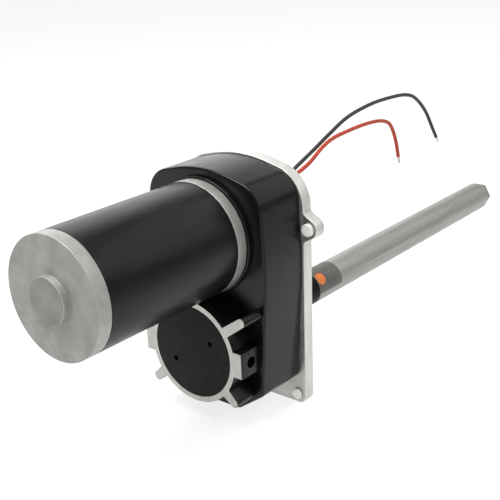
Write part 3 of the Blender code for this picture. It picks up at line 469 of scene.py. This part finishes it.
def rounded(corners, steps=6):
    """Points along a polygon of corners (a, b, radius), each corner replaced with an arc of its radius."""
    points = []
    count = len(corners)
    for index, (a, b, radius) in enumerate(corners):
        if not radius:
            points.append((a, b))
            continue
        corner = Vector((a, b))
        before = (Vector(corners[index - 1][:2]) - corner).normalized()
        after = (Vector(corners[(index + 1) % count][:2]) - corner).normalized()
        half_angle = before.angle(after) / 2
        start = corner + before * radius / math.tan(half_angle)
        centre = corner + (before + after).normalized() * radius / math.sin(half_angle)
        spoke = start - centre
        end = corner + after * radius / math.tan(half_angle)
        sweep = spoke.angle_signed(end - centre)
        for step in range(steps + 1):
            turned_spoke = spoke.copy()
            turned_spoke.rotate(Matrix.Rotation(-sweep * step / steps, 2))
            points.append(tuple(centre + turned_spoke))
    return points


def piece_of(name, bm, surface_name):
    """A new object from a bmesh, smooth but for its sharp edges."""
    bmesh.ops.remove_doubles(bm, verts=bm.verts, dist=1e-7)
    bmesh.ops.recalc_face_normals(bm, faces=bm.faces)
    mesh = bpy.data.meshes.new(name)
    bm.to_mesh(mesh)
    bm.free()
    mesh.shade_smooth()
    mesh.set_sharp_from_angle(angle=SHARP_ANGLE)
    mesh.materials.append(surface(surface_name))
    made = bpy.data.objects.new(name, mesh)
    bpy.context.scene.collection.objects.link(made)
    return made


def turned(name, corners, axis_yz, surface_name, steps=ROUND_STEPS):
    """A solid of revolution about an axis along X; corners are (x, radius, rounding) round a closed loop."""
    bm = bmesh.new()
    centre = Vector((0, axis_yz[0], axis_yz[1])) * MM
    loop = [bm.verts.new(centre + Vector((x, 0, radius)) * MM) for x, radius in rounded(corners)]
    edges = []
    for start, end in zip(loop, loop[1:] + loop[:1]):
        on_axis = (start.co - centre).z < 1e-9 and (end.co - centre).z < 1e-9
        if not on_axis:
            edges.append(bm.edges.new((start, end)))
    bmesh.ops.spin(
        bm, geom=loop + edges, cent=centre, axis=(1, 0, 0), angle=math.tau, steps=steps, use_merge=True
    )
    return piece_of(name, bm, surface_name)


def ring(name, x_from, x_to, bore, radius, axis_yz, surface_name, rounding, steps=ROUND_STEPS):
    """A plain turned sleeve with rounded rims."""
    corners = [
        (x_from, bore, rounding / 2), (x_from, radius, rounding), (x_to, radius, rounding),
        (x_to, bore, rounding / 2),
    ]
    return turned(name, corners, axis_yz, surface_name, steps)


def extruded(name, outline, x_from, x_to, surface_name, back_rounding=0.0, front_rounding=0.0, segments=5):
    """A solid with the outline (y, z), from x_from to x_to, its rims rounded."""
    bm = bmesh.new()
    corners = [bm.verts.new(Vector((x_from, y, z)) * MM) for y, z in outline]
    back = bm.faces.new(corners)
    grown = bmesh.ops.extrude_face_region(bm, geom=[back], use_keep_orig=True)
    moved = [item for item in grown["geom"] if isinstance(item, bmesh.types.BMVert)]
    bmesh.ops.translate(bm, verts=moved, vec=((x_to - x_from) * MM, 0, 0))
    for verts, rounding in ((corners, back_rounding), (moved, front_rounding)):
        rims = [edge for edge in bm.edges if all(vert in verts for vert in edge.verts)]
        if rounding:
            bmesh.ops.bevel(
                bm, geom=rims, offset=rounding * MM, segments=segments, profile=0.5, affect="EDGES"
            )
    return piece_of(name, bm, surface_name)


def combine(target, other, operation):
    """Joins other to target, or cuts it out, and removes other."""
    modifier = target.modifiers.new("combine", "BOOLEAN")
    modifier.operation = operation
    modifier.solver = "MANIFOLD"
    modifier.object = other
    bpy.context.view_layer.update()
    evaluated = target.evaluated_get(bpy.context.evaluated_depsgraph_get())
    mesh = bpy.data.meshes.new_from_object(evaluated)
    target.modifiers.clear()
    target.data = mesh
    bpy.data.objects.remove(other)


def drill(target, x_from, x_to, radius, axis_yz, surface_name, steps=HOLE_STEPS):
    """A round hole along X."""
    cutter = turned("drill", [(x_from, 0, 0), (x_from, radius, 0), (x_to, radius, 0), (x_to, 0, 0)],
                    axis_yz, surface_name, steps)
    combine(target, cutter, "DIFFERENCE")


def side_drill(target, y_from, y_to, radius, x, surface_name):
    """A round hole along Y, at z = 0."""
    cutter = turned("side_drill", [(y_from, 0, 0), (y_from, radius, 0), (y_to, radius, 0), (y_to, 0, 0)],
                    (0, 0), surface_name, HOLE_STEPS)
    cutter.data.transform(Matrix.Translation((x * MM, 0, 0)) @ Matrix.Rotation(math.pi / 2, 4, "Z"))
    combine(target, cutter, "DIFFERENCE")


def reshade(piece):
    """Marks sharp edges again after the piece was cut or joined."""
    piece.data.shade_smooth()
    piece.data.set_sharp_from_angle(angle=SHARP_ANGLE)


def stand_for(piece, *nodes, body="housing"):
    """The piece rides on the body, in the place of these CAD nodes, which it hides."""
    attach(piece, body)
    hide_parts(*nodes)
    return piece


# ---------------------------------------------------------------- camera and leads


def make_camera():
    forward = Vector((
        math.cos(CAMERA_ELEVATION) * math.sin(-CAMERA_AZIMUTH),
        math.cos(CAMERA_ELEVATION) * math.cos(CAMERA_AZIMUTH),
        -math.sin(CAMERA_ELEVATION),
    ))
    level = forward.cross(Vector((0, 0, 1))).normalized()
    up = level.cross(forward)
    right = math.cos(CAMERA_ROLL) * level + math.sin(CAMERA_ROLL) * up
    above = math.cos(CAMERA_ROLL) * up - math.sin(CAMERA_ROLL) * level
    data = bpy.data.cameras.new("camera")
    data.lens = CAMERA_LENS
    data.sensor_width = SENSOR_WIDTH
    camera = bpy.data.objects.new("camera", data)
    bpy.context.scene.collection.objects.link(camera)
    turn = Matrix((right, above, -forward)).transposed().to_4x4()
    camera.matrix_world = Matrix.Translation(CAMERA_PLACE) @ turn
    bpy.context.scene.camera = camera


def smooth_route(points, step_length):
    """Catmull-Rom points through the route's own points."""
    route = [Vector(point) for point in points]
    route = [route[0] * 2 - route[1], *route, route[-1] * 2 - route[-2]]
    smooth = []
    for before, start, end, after in zip(route, route[1:], route[2:], route[3:]):
        steps = max(1, round((end - start).length / step_length))
        for step in range(steps):
            t = step / steps
            smooth.append(0.5 * (
                2 * start + (end - before) * t + (2 * before - 5 * start + 4 * end - after) * t ** 2
                + (3 * start - before - 3 * end + after) * t ** 3
            ))
    return [*smooth, route[-2]]


def add_spline(curve, points):
    spline = curve.splines.new("POLY")
    spline.points.add(len(points) - 1)
    for spline_point, point in zip(spline.points, points):
        spline_point.co = (*(point * MM), 1.0)


def wires(name, lines, radius, surface_name):
    """A curve object of round wires, one for each line of points."""
    curve = bpy.data.curves.new(name, "CURVE")
    curve.dimensions = "3D"
    curve.bevel_depth = radius * MM
    curve.bevel_resolution = 4
    curve.use_fill_caps = True
    for line in lines:
        add_spline(curve, line)
    curve.materials.append(surface(surface_name))
    made = bpy.data.objects.new(name, curve)
    bpy.context.scene.collection.objects.link(made)
    return made


def strand_lines(start, direction):
    """A straight strand with the others laid round it in a slow helix."""
    across = direction.cross(Vector((0, 1, 0))).normalized()
    other = direction.cross(across)
    lines = [[start, start + direction * STRAND_LENGTH]]
    for strand in range(STRAND_COUNT - 1):
        line = []
        for step in range(STRAND_STEPS + 1):
            share = step / STRAND_STEPS
            angle = math.tau * strand / (STRAND_COUNT - 1) + STRAND_TWIST * share
            offset = (across * math.cos(angle) + other * math.sin(angle)) * STRAND_LAY_RADIUS
            line.append(start + direction * STRAND_LENGTH * share + offset)
        lines.append(line)
    return lines


def make_leads():
    for colour, facts in LEADS.items():
        y = facts["y"]
        route = smooth_route([(x, y, z) for x, z in facts["route"]], LEAD_STEP)
        lead = stand_for(wires(f"{colour}_wire", [route], LEAD_RADIUS, f"{colour}_pvc"), f"lead_{colour}")
        direction = (route[-1] - route[-2]).normalized()
        lines = strand_lines(route[-1], direction)
        strands = wires(f"{colour}_wire_strands", lines, STRAND_WIRE_RADIUS, "tinned")
        stand_for(strands, f"strand_{colour}")


# ---------------------------------------------------------------- gear case


def case_outline(inset):
    """The case seen along X. The inset narrows it by the wall's thickness for the cavity."""
    chamfer_rise = inset * math.tan(math.pi / 4 - CHAMFER_ANGLE / 2)
    chamfer_shift = inset * math.tan(CHAMFER_ANGLE / 2)
    right = [
        (SHOULDER_HALF_WIDTH - inset, SHOULDER_Z - inset, SHOULDER_RADIUS - inset),
        (CASE_HALF_WIDTH - inset, CASE_WIDEST_Z, CASE_BOW_RADIUS),
        (CASE_LOW_HALF_WIDTH - inset, CHAMFER_TOP_Z + chamfer_rise, CASE_CORNER_RADIUS),
        (CHAMFER_HALF_WIDTH - chamfer_shift, CASE_BOTTOM_Z + inset, CASE_CORNER_RADIUS),
    ]
    left = [(-y, z, radius) for y, z, radius in reversed(right)]
    return rounded([(0, ARCH_TOP - inset, ARCH_RADIUS), *right, *left], steps=20)


def lug(facts, side, front):
    """A radial rib of the bearing housing that runs back to the case, tapered towards its tip."""
    angle = math.radians(facts["angle"])
    along = Vector((side * math.cos(angle), math.sin(angle)))
    across = Vector((-along.y, along.x))
    root = along * LUG_ROOT
    tip = along * facts["reach"]
    half_root, half_tip = facts["root_width"] / 2, facts["tip_width"] / 2
    rounding = half_tip * LUG_TIP_ROUNDNESS
    corners = [
        (*(root - across * half_root), 0), (*(tip - across * half_tip), rounding),
        (*(tip + across * half_tip), rounding), (*(root + across * half_root), 0),
    ]
    return extruded("lug", rounded(corners), 0, front, "case_paint", back_rounding=CAST_EDGE, segments=2)


def disc(x_from, x_to, radius, rim, axis_yz):
    """A plain round boss of the casting, its back rim rounded by rim."""
    corners = [(x_from, 0, 0), (x_from, radius, rim), (x_to, radius, 0), (x_to, 0, 0)]
    return turned("disc", corners, axis_yz, "case_paint")


def make_case_outside(case_front):
    case = extruded("case_casting", case_outline(0), CASE_BACK, case_front, "case_paint",
                    back_rounding=CASE_ROUNDING, segments=8)
    inside_wall = CASE_BACK + CASE_WALL / 2
    combine(case, disc(0, inside_wall, HOUSING_RADIUS, CAST_EDGE, (0, 0)), "UNION")
    motor_axis = (0, node_span("motor_can")[3])
    combine(case, disc(MOTOR_SEAT_BACK, inside_wall, MOTOR_SEAT_RADIUS, 0.8, motor_axis), "UNION")
    for side, _ in SIDES:
        low_y, high_y = sorted((side * LUG_ROOT, side * PAD_REACH))
        pad_outline = rounded([
            (low_y, -PAD_HALF_HEIGHT, CAST_EDGE), (high_y, -PAD_HALF_HEIGHT, CAST_EDGE),
            (high_y, PAD_HALF_HEIGHT, CAST_EDGE), (low_y, PAD_HALF_HEIGHT, CAST_EDGE),
        ], steps=3)
        pad = extruded("pad", pad_outline, 0, CASE_BACK + OVERLAP, "case_paint", CAST_EDGE, segments=2)
        combine(case, pad, "UNION")
        for facts in (UPPER_LUG, LOWER_LUG):
            combine(case, lug(facts, side, CASE_BACK + OVERLAP), "UNION")
    return case


def cut_case_side(case, case_front, side):
    """The bosses and holes of one half of the case."""
    for y, z in COVER_SCREWS:
        axis = (side * y, z)
        combine(case, disc(CASE_BACK + CASE_WALL / 2, case_front, BOSS_RADIUS, 0, axis), "UNION")
        hole_ends = (case_front - BOSS_HOLE_DEPTH, case_front + BREAKTHROUGH)
        drill(case, *hole_ends, COVER_HOLE_RADIUS, axis, "case_paint")
    wall_hole(case, BELL_SCREW_HOLE_RADIUS, (side * MOTOR_SCREW[0], MOTOR_SCREW[1]))
    hole_ends = sorted((side * (PAD_REACH - PAD_HOLE_DEPTH), side * (PAD_REACH + BREAKTHROUGH)))
    side_drill(case, *hole_ends, PAD_HOLE_RADIUS, PAD_HOLE_X, "case_paint")


def wall_hole(case, radius, axis_yz):
    """A hole through the motor seat and the case's rear wall."""
    x_from, x_to = MOTOR_SEAT_BACK - BREAKTHROUGH, CASE_BACK + CASE_WALL + BREAKTHROUGH
    drill(case, x_from, x_to, radius, axis_yz, "case_paint")


def make_case():
    case_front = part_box("gear_case")[1].x / MM
    case = make_case_outside(case_front)
    cavity = extruded(
        "cavity", case_outline(CASE_WALL), CASE_BACK + CASE_WALL, case_front + BREAKTHROUGH, "case_paint"
    )
    combine(case, cavity, "DIFFERENCE")
    for side, _ in SIDES:
        cut_case_side(case, case_front, side)
    cap_front, cap_radius = node_span("bearing_cap")[1:3]
    cap_bore = cap_radius + GAP
    bearing_bore = node_span("screw_bearing_rear")[2] + GAP
    shoulder_x = cap_front + GAP
    bore_end = CASE_BACK + CASE_WALL + BREAKTHROUGH
    bore = turned("bore", [
        (-BREAKTHROUGH, 0, 0), (-BREAKTHROUGH, cap_bore, 0), (shoulder_x, cap_bore, 0),
        (shoulder_x, bearing_bore, 0), (bore_end, bearing_bore, 0), (bore_end, 0, 0),
    ], (0, 0), "case_paint")
    combine(case, bore, "DIFFERENCE")
    wall_hole(case, SHAFT_HOLE_RADIUS, (0, node_span("motor_can")[3]))
    wall_hole(case, LEAD_HOLE_RADIUS, LEAD_HOLE)
    _, _, axle_radius, axle_z = node_span("idler_axle")
    drill(case, CASE_BACK + AXLE_HOLE_FLOOR, bore_end, axle_radius + GAP, (0, axle_z), "case_paint")
    reshade(case)
    set_rear_face_surface(case, 0.0, "machined_face")
    stand_for(case, "gear_case")


def set_rear_face_surface(piece, x, surface_name):
    """Faces that look backwards in the plane at x get this surface, and the rest keep their own. Some of the
    surfaces given are darker copies of a metal, painted shade.
    """
    rear_surface = surface(surface_name)
    if rear_surface.name not in piece.data.materials:
        piece.data.materials.append(rear_surface)
    slot = piece.data.materials.find(rear_surface.name)
    for face in piece.data.polygons:
        if abs(face.center.x - x * MM) < FACE_TOLERANCE * MM and face.normal.x < REAR_FACING:
            face.material_index = slot


def make_cap():
    back, front, radius, _ = node_span("bearing_cap")
    cap = turned("cap_disc", [(back, 0, 0), (back, radius, 0.5), (front, radius, 0.2), (front, 0, 0)],
                 (0, 0), "cap_paint")
    for sign in (-1, 1):
        centre = (sign * CAP_HOLE_CENTRE[0], sign * CAP_HOLE_CENTRE[1])
        drill(cap, -BREAKTHROUGH, CAP_HOLE_DEPTH, CAP_HOLE_RADIUS, centre, "cap_paint", CAP_HOLE_STEPS)
    reshade(cap)
    stand_for(cap, "bearing_cap")


# ---------------------------------------------------------------- plate and screws


def plate_outline(bottom_z):
    """The plate seen along X: a little larger than the case, with a round ear on each side."""
    ear_radius = EAR_REACH - EAR_SCREW[0]
    ear_low, ear_high = EAR_SCREW[1] - EAR_HALF_HEIGHT, EAR_SCREW[1] + EAR_HALF_HEIGHT
    right = [
        (PLATE_HALF_WIDTH, SHOULDER_Z + PLATE_OVERHANG_TOP, PLATE_SHOULDER_RADIUS),
        (PLATE_HALF_WIDTH, ear_high + EAR_FLARE_HEIGHT, EAR_FLARE_RADIUS),
        (EAR_REACH, ear_high, ear_radius),
        (EAR_REACH, ear_low, ear_radius),
        (PLATE_HALF_WIDTH, ear_low - EAR_FLARE_HEIGHT, EAR_FLARE_RADIUS),
        (PLATE_LOW_HALF_WIDTH, bottom_z, PLATE_CORNER_RADIUS),
    ]
    left = [(-y, z, radius) for y, z, radius in reversed(right)]
    return rounded([(0, ARCH_TOP + PLATE_OVERHANG_TOP, ARCH_RADIUS), *right, *left], steps=16)


def make_plate():
    low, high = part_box("mounting_plate")
    hub_back, front = low.x / MM, high.x / MM
    outline = plate_outline(low.z / MM)
    plate = extruded("plate_slab", outline, PLATE_BACK, front, "plate_metal", 0.6, 0.6, segments=3)
    hub = turned("hub", [
        (hub_back, 0, 0), (hub_back, PLATE_HUB_RADIUS, 0.5), (PLATE_BACK + OVERLAP, PLATE_HUB_RADIUS, 0),
        (PLATE_BACK + OVERLAP, 0, 0),
    ], (0, 0), "plate_metal")
    combine(plate, hub, "UNION")
    bearing_bore = node_span("screw_bearing_front")[2] + GAP
    bore_ends = (hub_back - BREAKTHROUGH, FRONT_BEARING_FRONT + GAP)
    drill(plate, *bore_ends, bearing_bore, (0, 0), "plate_metal", BORE_STEPS)
    back, past_front = PLATE_BACK - BREAKTHROUGH, front + BREAKTHROUGH
    drill(plate, back, past_front, COLLAR_BORE_RADIUS, (0, 0), "plate_metal", BORE_STEPS)
    _, _, axle_radius, axle_z = node_span("idler_axle")
    drill(plate, back, PLATE_BACK + AXLE_HOLE_DEPTH, axle_radius + GAP, (0, axle_z), "plate_metal")
    drill(plate, back, past_front, GROMMET_HOLE_RADIUS, GROMMET_CENTRE, "plate_metal")
    for side, _ in SIDES:
        drill(plate, back, past_front, EAR_HOLE_RADIUS, (side * EAR_SCREW[0], EAR_SCREW[1]), "plate_metal")
        corner_axis = (side * CORNER_SCREW[0], CORNER_SCREW[1])
        drill(plate, back, past_front, CORNER_HOLE_RADIUS, corner_axis, "plate_metal")
        for y, z in COVER_SCREWS:
            drill(plate, back, past_front, COVER_HOLE_RADIUS, (side * y, z), "plate_metal")
            drill(plate, COVER_SEAT_X, past_front, COUNTERBORE_RADIUS, (side * y, z), "plate_metal")
    reshade(plate)
    # The plate's back face gets a darker copy of its metal: painted shade
    set_rear_face_surface(plate, PLATE_BACK, "plate_back_painted_shade")
    stand_for(plate, "mounting_plate")


def polygon(sides, radius, first_angle, centre):
    """A regular polygon's corners (y, z), the first at first_angle from +Y."""
    angles = [first_angle + math.tau * corner / sides for corner in range(sides)]
    return [(centre[0] + radius * math.cos(angle), centre[1] + radius * math.sin(angle)) for angle in angles]


def make_screw(node, head_height, shank_radius, head_at_back):
    """A screw with its head at the node's low or high X end; a head at the front has a hexagon socket."""
    low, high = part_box(node)
    centre = ((low.y + high.y) / 2 / MM, (low.z + high.z) / 2 / MM)
    head_radius = (high.z - low.z) / 2 / MM
    top, tail, away = (low.x / MM, high.x / MM, 1) if head_at_back else (high.x / MM, low.x / MM, -1)
    seat = top + away * head_height
    screw = turned(f"{node}_turned", [
        (tail, 0, 0), (tail, shank_radius, 0.4), (seat, shank_radius, 0), (seat, head_radius, 0.2),
        (top, head_radius, 0.5), (top, 0, 0),
    ], centre, "disc_metal" if head_at_back else "screw_metal", SMALL_STEPS)
    if not head_at_back:
        x_from, x_to = sorted((top - away * BREAKTHROUGH, top + away * head_height * SOCKET_SHARE))
        socket = polygon(6, head_radius * SOCKET_SHARE, math.pi / 6, centre)
        combine(screw, extruded("socket", socket, x_from, x_to, "screw_metal"), "DIFFERENCE")
    reshade(screw)
    stand_for(screw, node)


def make_screws():
    for _, word in SIDES:
        for stem, facts in SCREWS.items():
            make_screw(f"{stem}_{word}", *facts)


# ---------------------------------------------------------------- motor


def make_motor():
    back, front, radius, axis_z = node_span("motor_can")
    axis = (0, axis_z)
    can = ring("can_shell", back, front, radius - CAN_WALL, radius, axis, "can_paint", 0.5, MOTOR_STEPS)
    stand_for(can, "motor_can")
    boss_back, rim_front, bell_radius, _ = node_span("motor_rear_bell")
    face = boss_back + REAR_BOSS_HEIGHT
    pocket_floor = face - REAR_POCKET_DEPTH
    pocket = node_span("motor_bearing_rear")[2] + GAP
    rear = turned("rear_bell_casting", [
        (boss_back, 0, 0), (boss_back, REAR_BOSS_RADIUS, 0.5), (face, REAR_BOSS_RADIUS, 0.2),
        (face, bell_radius, REAR_BELL_CHAMFER), (rim_front, bell_radius, 0.2), (rim_front, pocket, 0),
        (pocket_floor, pocket, 0), (pocket_floor, 0, 0),
    ], axis, "cast_metal", MOTOR_STEPS)
    # The bell's back face gets a darker copy of the casting's metal: painted shade
    set_rear_face_surface(rear, face, "cast_face_painted_shade")
    set_rear_face_surface(rear, boss_back, "boss_face")
    stand_for(rear, "motor_rear_bell")
    make_front_bell(front + GAP, bell_radius, pocket, axis)


def make_front_bell(bell_back, radius, pocket, axis):
    """The bell's neck holds the front bearing, and its spigot enters the case."""
    low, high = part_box("motor_front_bell")
    neck_back, spigot_front = low.x / MM, high.x / MM
    bell = turned("front_bell_casting", [
        (neck_back, pocket, 0), (neck_back, BELL_NECK_RADIUS, 0.3), (bell_back, BELL_NECK_RADIUS, 0),
        (bell_back, radius, 0.5), (MOTOR_BELL_FRONT, radius, 0.3), (MOTOR_BELL_FRONT, BELL_SPIGOT_RADIUS, 0),
        (spigot_front, BELL_SPIGOT_RADIUS, 0.3), (spigot_front, BELL_SHAFT_HOLE_RADIUS, 0),
        (FRONT_POCKET_FLOOR, BELL_SHAFT_HOLE_RADIUS, 0), (FRONT_POCKET_FLOOR, pocket, 0),
    ], axis, "cast_metal", MOTOR_STEPS)
    hole_ends = (neck_back - BREAKTHROUGH, MOTOR_BELL_FRONT + BREAKTHROUGH)
    for side, _ in SIDES:
        drill(bell, *hole_ends, BELL_SCREW_HOLE_RADIUS, (side * MOTOR_SCREW[0], MOTOR_SCREW[1]), "cast_metal")
    drill(bell, *hole_ends, LEAD_HOLE_RADIUS, LEAD_HOLE, "cast_metal")
    reshade(bell)
    stand_for(bell, "motor_front_bell")


# ---------------------------------------------------------------- tubes, rod and label


def make_tubes():
    back, front, radius, _ = node_span("tube_collar")
    collar = ring("collar_sleeve", back, front, TUBE_BORE_RADIUS, radius, (0, 0), "collar_paint", 0.4,
                  TUBE_STEPS)
    stand_for(collar, "tube_collar")
    tenon_back, tube_front = (end.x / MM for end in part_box("cover_tube"))
    tube = turned("tube_shell", [
        (tenon_back, TUBE_BORE_RADIUS, 0), (tenon_back, TENON_RADIUS, 0), (front + GAP, TENON_RADIUS, 0),
        (front + GAP, radius, 0.4), (tube_front, radius, 0.9), (tube_front, TUBE_BORE_RADIUS, 0.2),
    ], (0, 0), "tube_metal", TUBE_STEPS)
    stand_for(tube, "cover_tube")
    rod_back, rod_front, rod_radius, _ = node_span("extension_tube")
    rod = ring("rod_shell", rod_back, rod_front, ROD_BORE_RADIUS, rod_radius, (0, 0), "rod_metal", 0.3,
               TUBE_STEPS)
    stand_for(rod, "extension_tube", body="rod")
    make_rod_end()


def make_rod_end():
    """A hexagonal head with a threaded hole, its corners at the sides, on a spigot inside the tube."""
    low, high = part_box("rod_end")
    plug_back, head_front = low.x / MM, high.x / MM
    head_back = plug_back + ROD_SPIGOT_LENGTH
    corner_radius = high.y / MM
    hexagon = rounded([(y, z, 0.6) for y, z in polygon(ROD_HEAD_SIDES, corner_radius, 0, (0, 0))], steps=3)
    end = extruded("rod_end_plug", hexagon, head_back, head_front, "tube_metal", 0.3, ROD_HEAD_CHAMFER, 2)
    spigot_radius = ROD_BORE_RADIUS - GAP
    spigot = turned("spigot", [
        (plug_back, 0, 0), (plug_back, spigot_radius, 0.5), (head_back + OVERLAP, spigot_radius, 0),
        (head_back + OVERLAP, 0, 0),
    ], (0, 0), "tube_metal")
    combine(end, spigot, "UNION")
    hole_ends = (head_front - ROD_THREAD_DEPTH, head_front + BREAKTHROUGH)
    drill(end, *hole_ends, ROD_THREAD_RADIUS, (0, 0), "tube_metal")
    reshade(end)
    stand_for(end, "rod_end", body="rod")


def film(name, rows, surface_name):
    """A thin film from rows of (x, angle, radius): angles go round the X axis from -Y towards +Z."""
    bm = bmesh.new()
    grid = []
    for row in rows:
        grid.append([
            bm.verts.new(Vector((x, -radius * math.cos(angle), radius * math.sin(angle))) * MM)
            for x, angle, radius in row
        ])
    for row, following in zip(grid, grid[1:]):
        for start, end, above, beside in zip(row, row[1:], following[1:], following):
            bm.faces.new((start, end, above, beside))
    return piece_of(name, bm, surface_name)


def make_label():
    """A plain grey sticker with an orange spot that its rear edge cuts."""
    tube_radius = node_span("cover_tube")[2]
    low = FILM / 6
    profile = ((LABEL_BACK, low), (LABEL_BACK, FILM), (LABEL_FRONT, FILM), (LABEL_FRONT, low))
    rows = []
    for step in range(LABEL_STEPS + 1):
        angle = LABEL_LOW + (LABEL_HIGH - LABEL_LOW) * step / LABEL_STEPS
        rows.append([(x, angle, tube_radius + height) for x, height in profile])
    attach(film("label_sticker", rows, "label_film"), "housing")
    rows = []
    for distance in range(SPOT_RINGS + 1):
        radius = SPOT_RADIUS * distance / SPOT_RINGS
        row = []
        for step in range(LABEL_STEPS + 1):
            turn = math.tau * step / LABEL_STEPS
            x = max(LABEL_BACK + SPOT_INSET, SPOT_X + radius * math.cos(turn))
            angle = SPOT_ANGLE + radius * math.sin(turn) / tube_radius
            row.append((x, angle, tube_radius + FILM + SPOT_LIFT))
        rows.append(row)
    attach(film("label_spot", rows, "label_orange"), "housing")


def make_grommet():
    back, front, radius, _ = node_span("grommet")
    low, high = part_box("grommet")
    centre = (low + high) / 2 / MM
    flange_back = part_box("mounting_plate")[1].x / MM + GAP
    grommet = turned("grommet_moulding", [
        (back, 0, 0), (back, GROMMET_NECK_RADIUS, 0.3), (flange_back, GROMMET_NECK_RADIUS, 0),
        (flange_back, radius, 0.3), (front, radius, 0.9), (front, 0, 0),
    ], (centre.y, centre.z), "rubber", SMALL_STEPS)
    stand_for(grommet, "grommet")


# ---------------------------------------------------------------- carried-over CAD nodes, room and lights


def paint_cad_nodes():
    """The CAD nodes that stay get a procedural material in place of their plain colour."""
    for name, node in frame["nodes"].items():
        node.data.materials.clear()
        node.data.materials.append(surface(SLOT_SURFACES[NODE_SLOTS[name]]))


def make_floor():
    """White, glowing evenly but for a painted shade: the glow is dimmer beyond the edge of the lit area on
    the -Y side.
    """
    bm = bmesh.new()
    bmesh.ops.create_grid(bm, x_segments=1, y_segments=1, size=FLOOR_HALF_SIZE)
    mesh = bpy.data.meshes.new("floor")
    bm.to_mesh(mesh)
    bm.free()
    white = bpy.data.materials.new("floor_white")
    white.use_nodes = True
    shader = white.node_tree.nodes["Principled BSDF"]
    shader.inputs["Base Color"].default_value = (FLOOR_GREY, FLOOR_GREY, FLOOR_GREY, 1.0)
    shader.inputs["Roughness"].default_value = 0.9
    shader.inputs["Specular IOR Level"].default_value = 0.0
    shader.inputs["Emission Color"].default_value = (1.0, 1.0, 1.0, 1.0)
    tree = white.node_tree
    place = tree.nodes.new("ShaderNodeTexCoord")
    across = tree.nodes.new("ShaderNodeSeparateXYZ")
    tree.links.new(place.outputs["Object"], across.inputs["Vector"])
    shade = tree.nodes.new("ShaderNodeMapRange")
    shade.interpolation_type = "SMOOTHSTEP"
    shade.inputs["From Min"].default_value = FLOOR_SHADE_Y[0]
    shade.inputs["From Max"].default_value = FLOOR_SHADE_Y[1]
    shade.inputs["To Min"].default_value = FLOOR_EMISSION * FLOOR_SHADE
    shade.inputs["To Max"].default_value = FLOOR_EMISSION
    tree.links.new(across.outputs["Y"], shade.inputs["Value"])
    tree.links.new(shade.outputs["Result"], shader.inputs["Emission Strength"])
    mesh.materials.append(white)
    floor = bpy.data.objects.new("floor", mesh)
    bpy.context.scene.collection.objects.link(floor)
    floor.location.z = cad_box[0].z - FLOOR_DROP * MM


def add_area(name, place, size, power):
    """A softbox that faces the object's middle."""
    data = bpy.data.lights.new(name, "AREA")
    data.shape = "RECTANGLE"
    data.size, data.size_y = size
    data.energy = power
    light = bpy.data.objects.new(name, data)
    bpy.context.scene.collection.objects.link(light)
    light.location = place
    light.rotation_euler = (Vector(OBJECT_MIDDLE) - light.location).to_track_quat("-Z", "Y").to_euler()


def make_world():
    """White all round, brighter above and behind the object than behind the camera."""
    world = bpy.data.worlds.new("studio")
    bpy.context.scene.world = world
    world.use_nodes = True
    tree = world.node_tree
    place = tree.nodes.new("ShaderNodeTexCoord")
    towards = tree.nodes.new("ShaderNodeVectorMath")
    towards.operation = "DOT_PRODUCT"
    towards.inputs[1].default_value = Vector(BRIGHT_DIRECTION).normalized()
    tree.links.new(place.outputs["Generated"], towards.inputs[0])
    strength = tree.nodes.new("ShaderNodeMapRange")
    strength.inputs["From Min"].default_value = WORLD_TURN
    strength.inputs["To Min"].default_value = WORLD_DIM
    strength.inputs["To Max"].default_value = WORLD_BRIGHT
    tree.links.new(towards.outputs["Value"], strength.inputs["Value"])
    background = tree.nodes["Background"]
    background.inputs["Color"].default_value = (1.0, 1.0, 1.0, 1.0)
    tree.links.new(strength.outputs["Result"], background.inputs["Strength"])


def make_lights():
    for light in LIGHTS:
        add_area(*light)
    make_world()


make_camera()
make_leads()
paint_cad_nodes()
make_case()
make_cap()
make_plate()
make_screws()
make_motor()
make_tubes()
make_label()
make_grommet()
make_floor()
make_lights()
bpy.context.scene.view_settings.view_transform = "Standard"
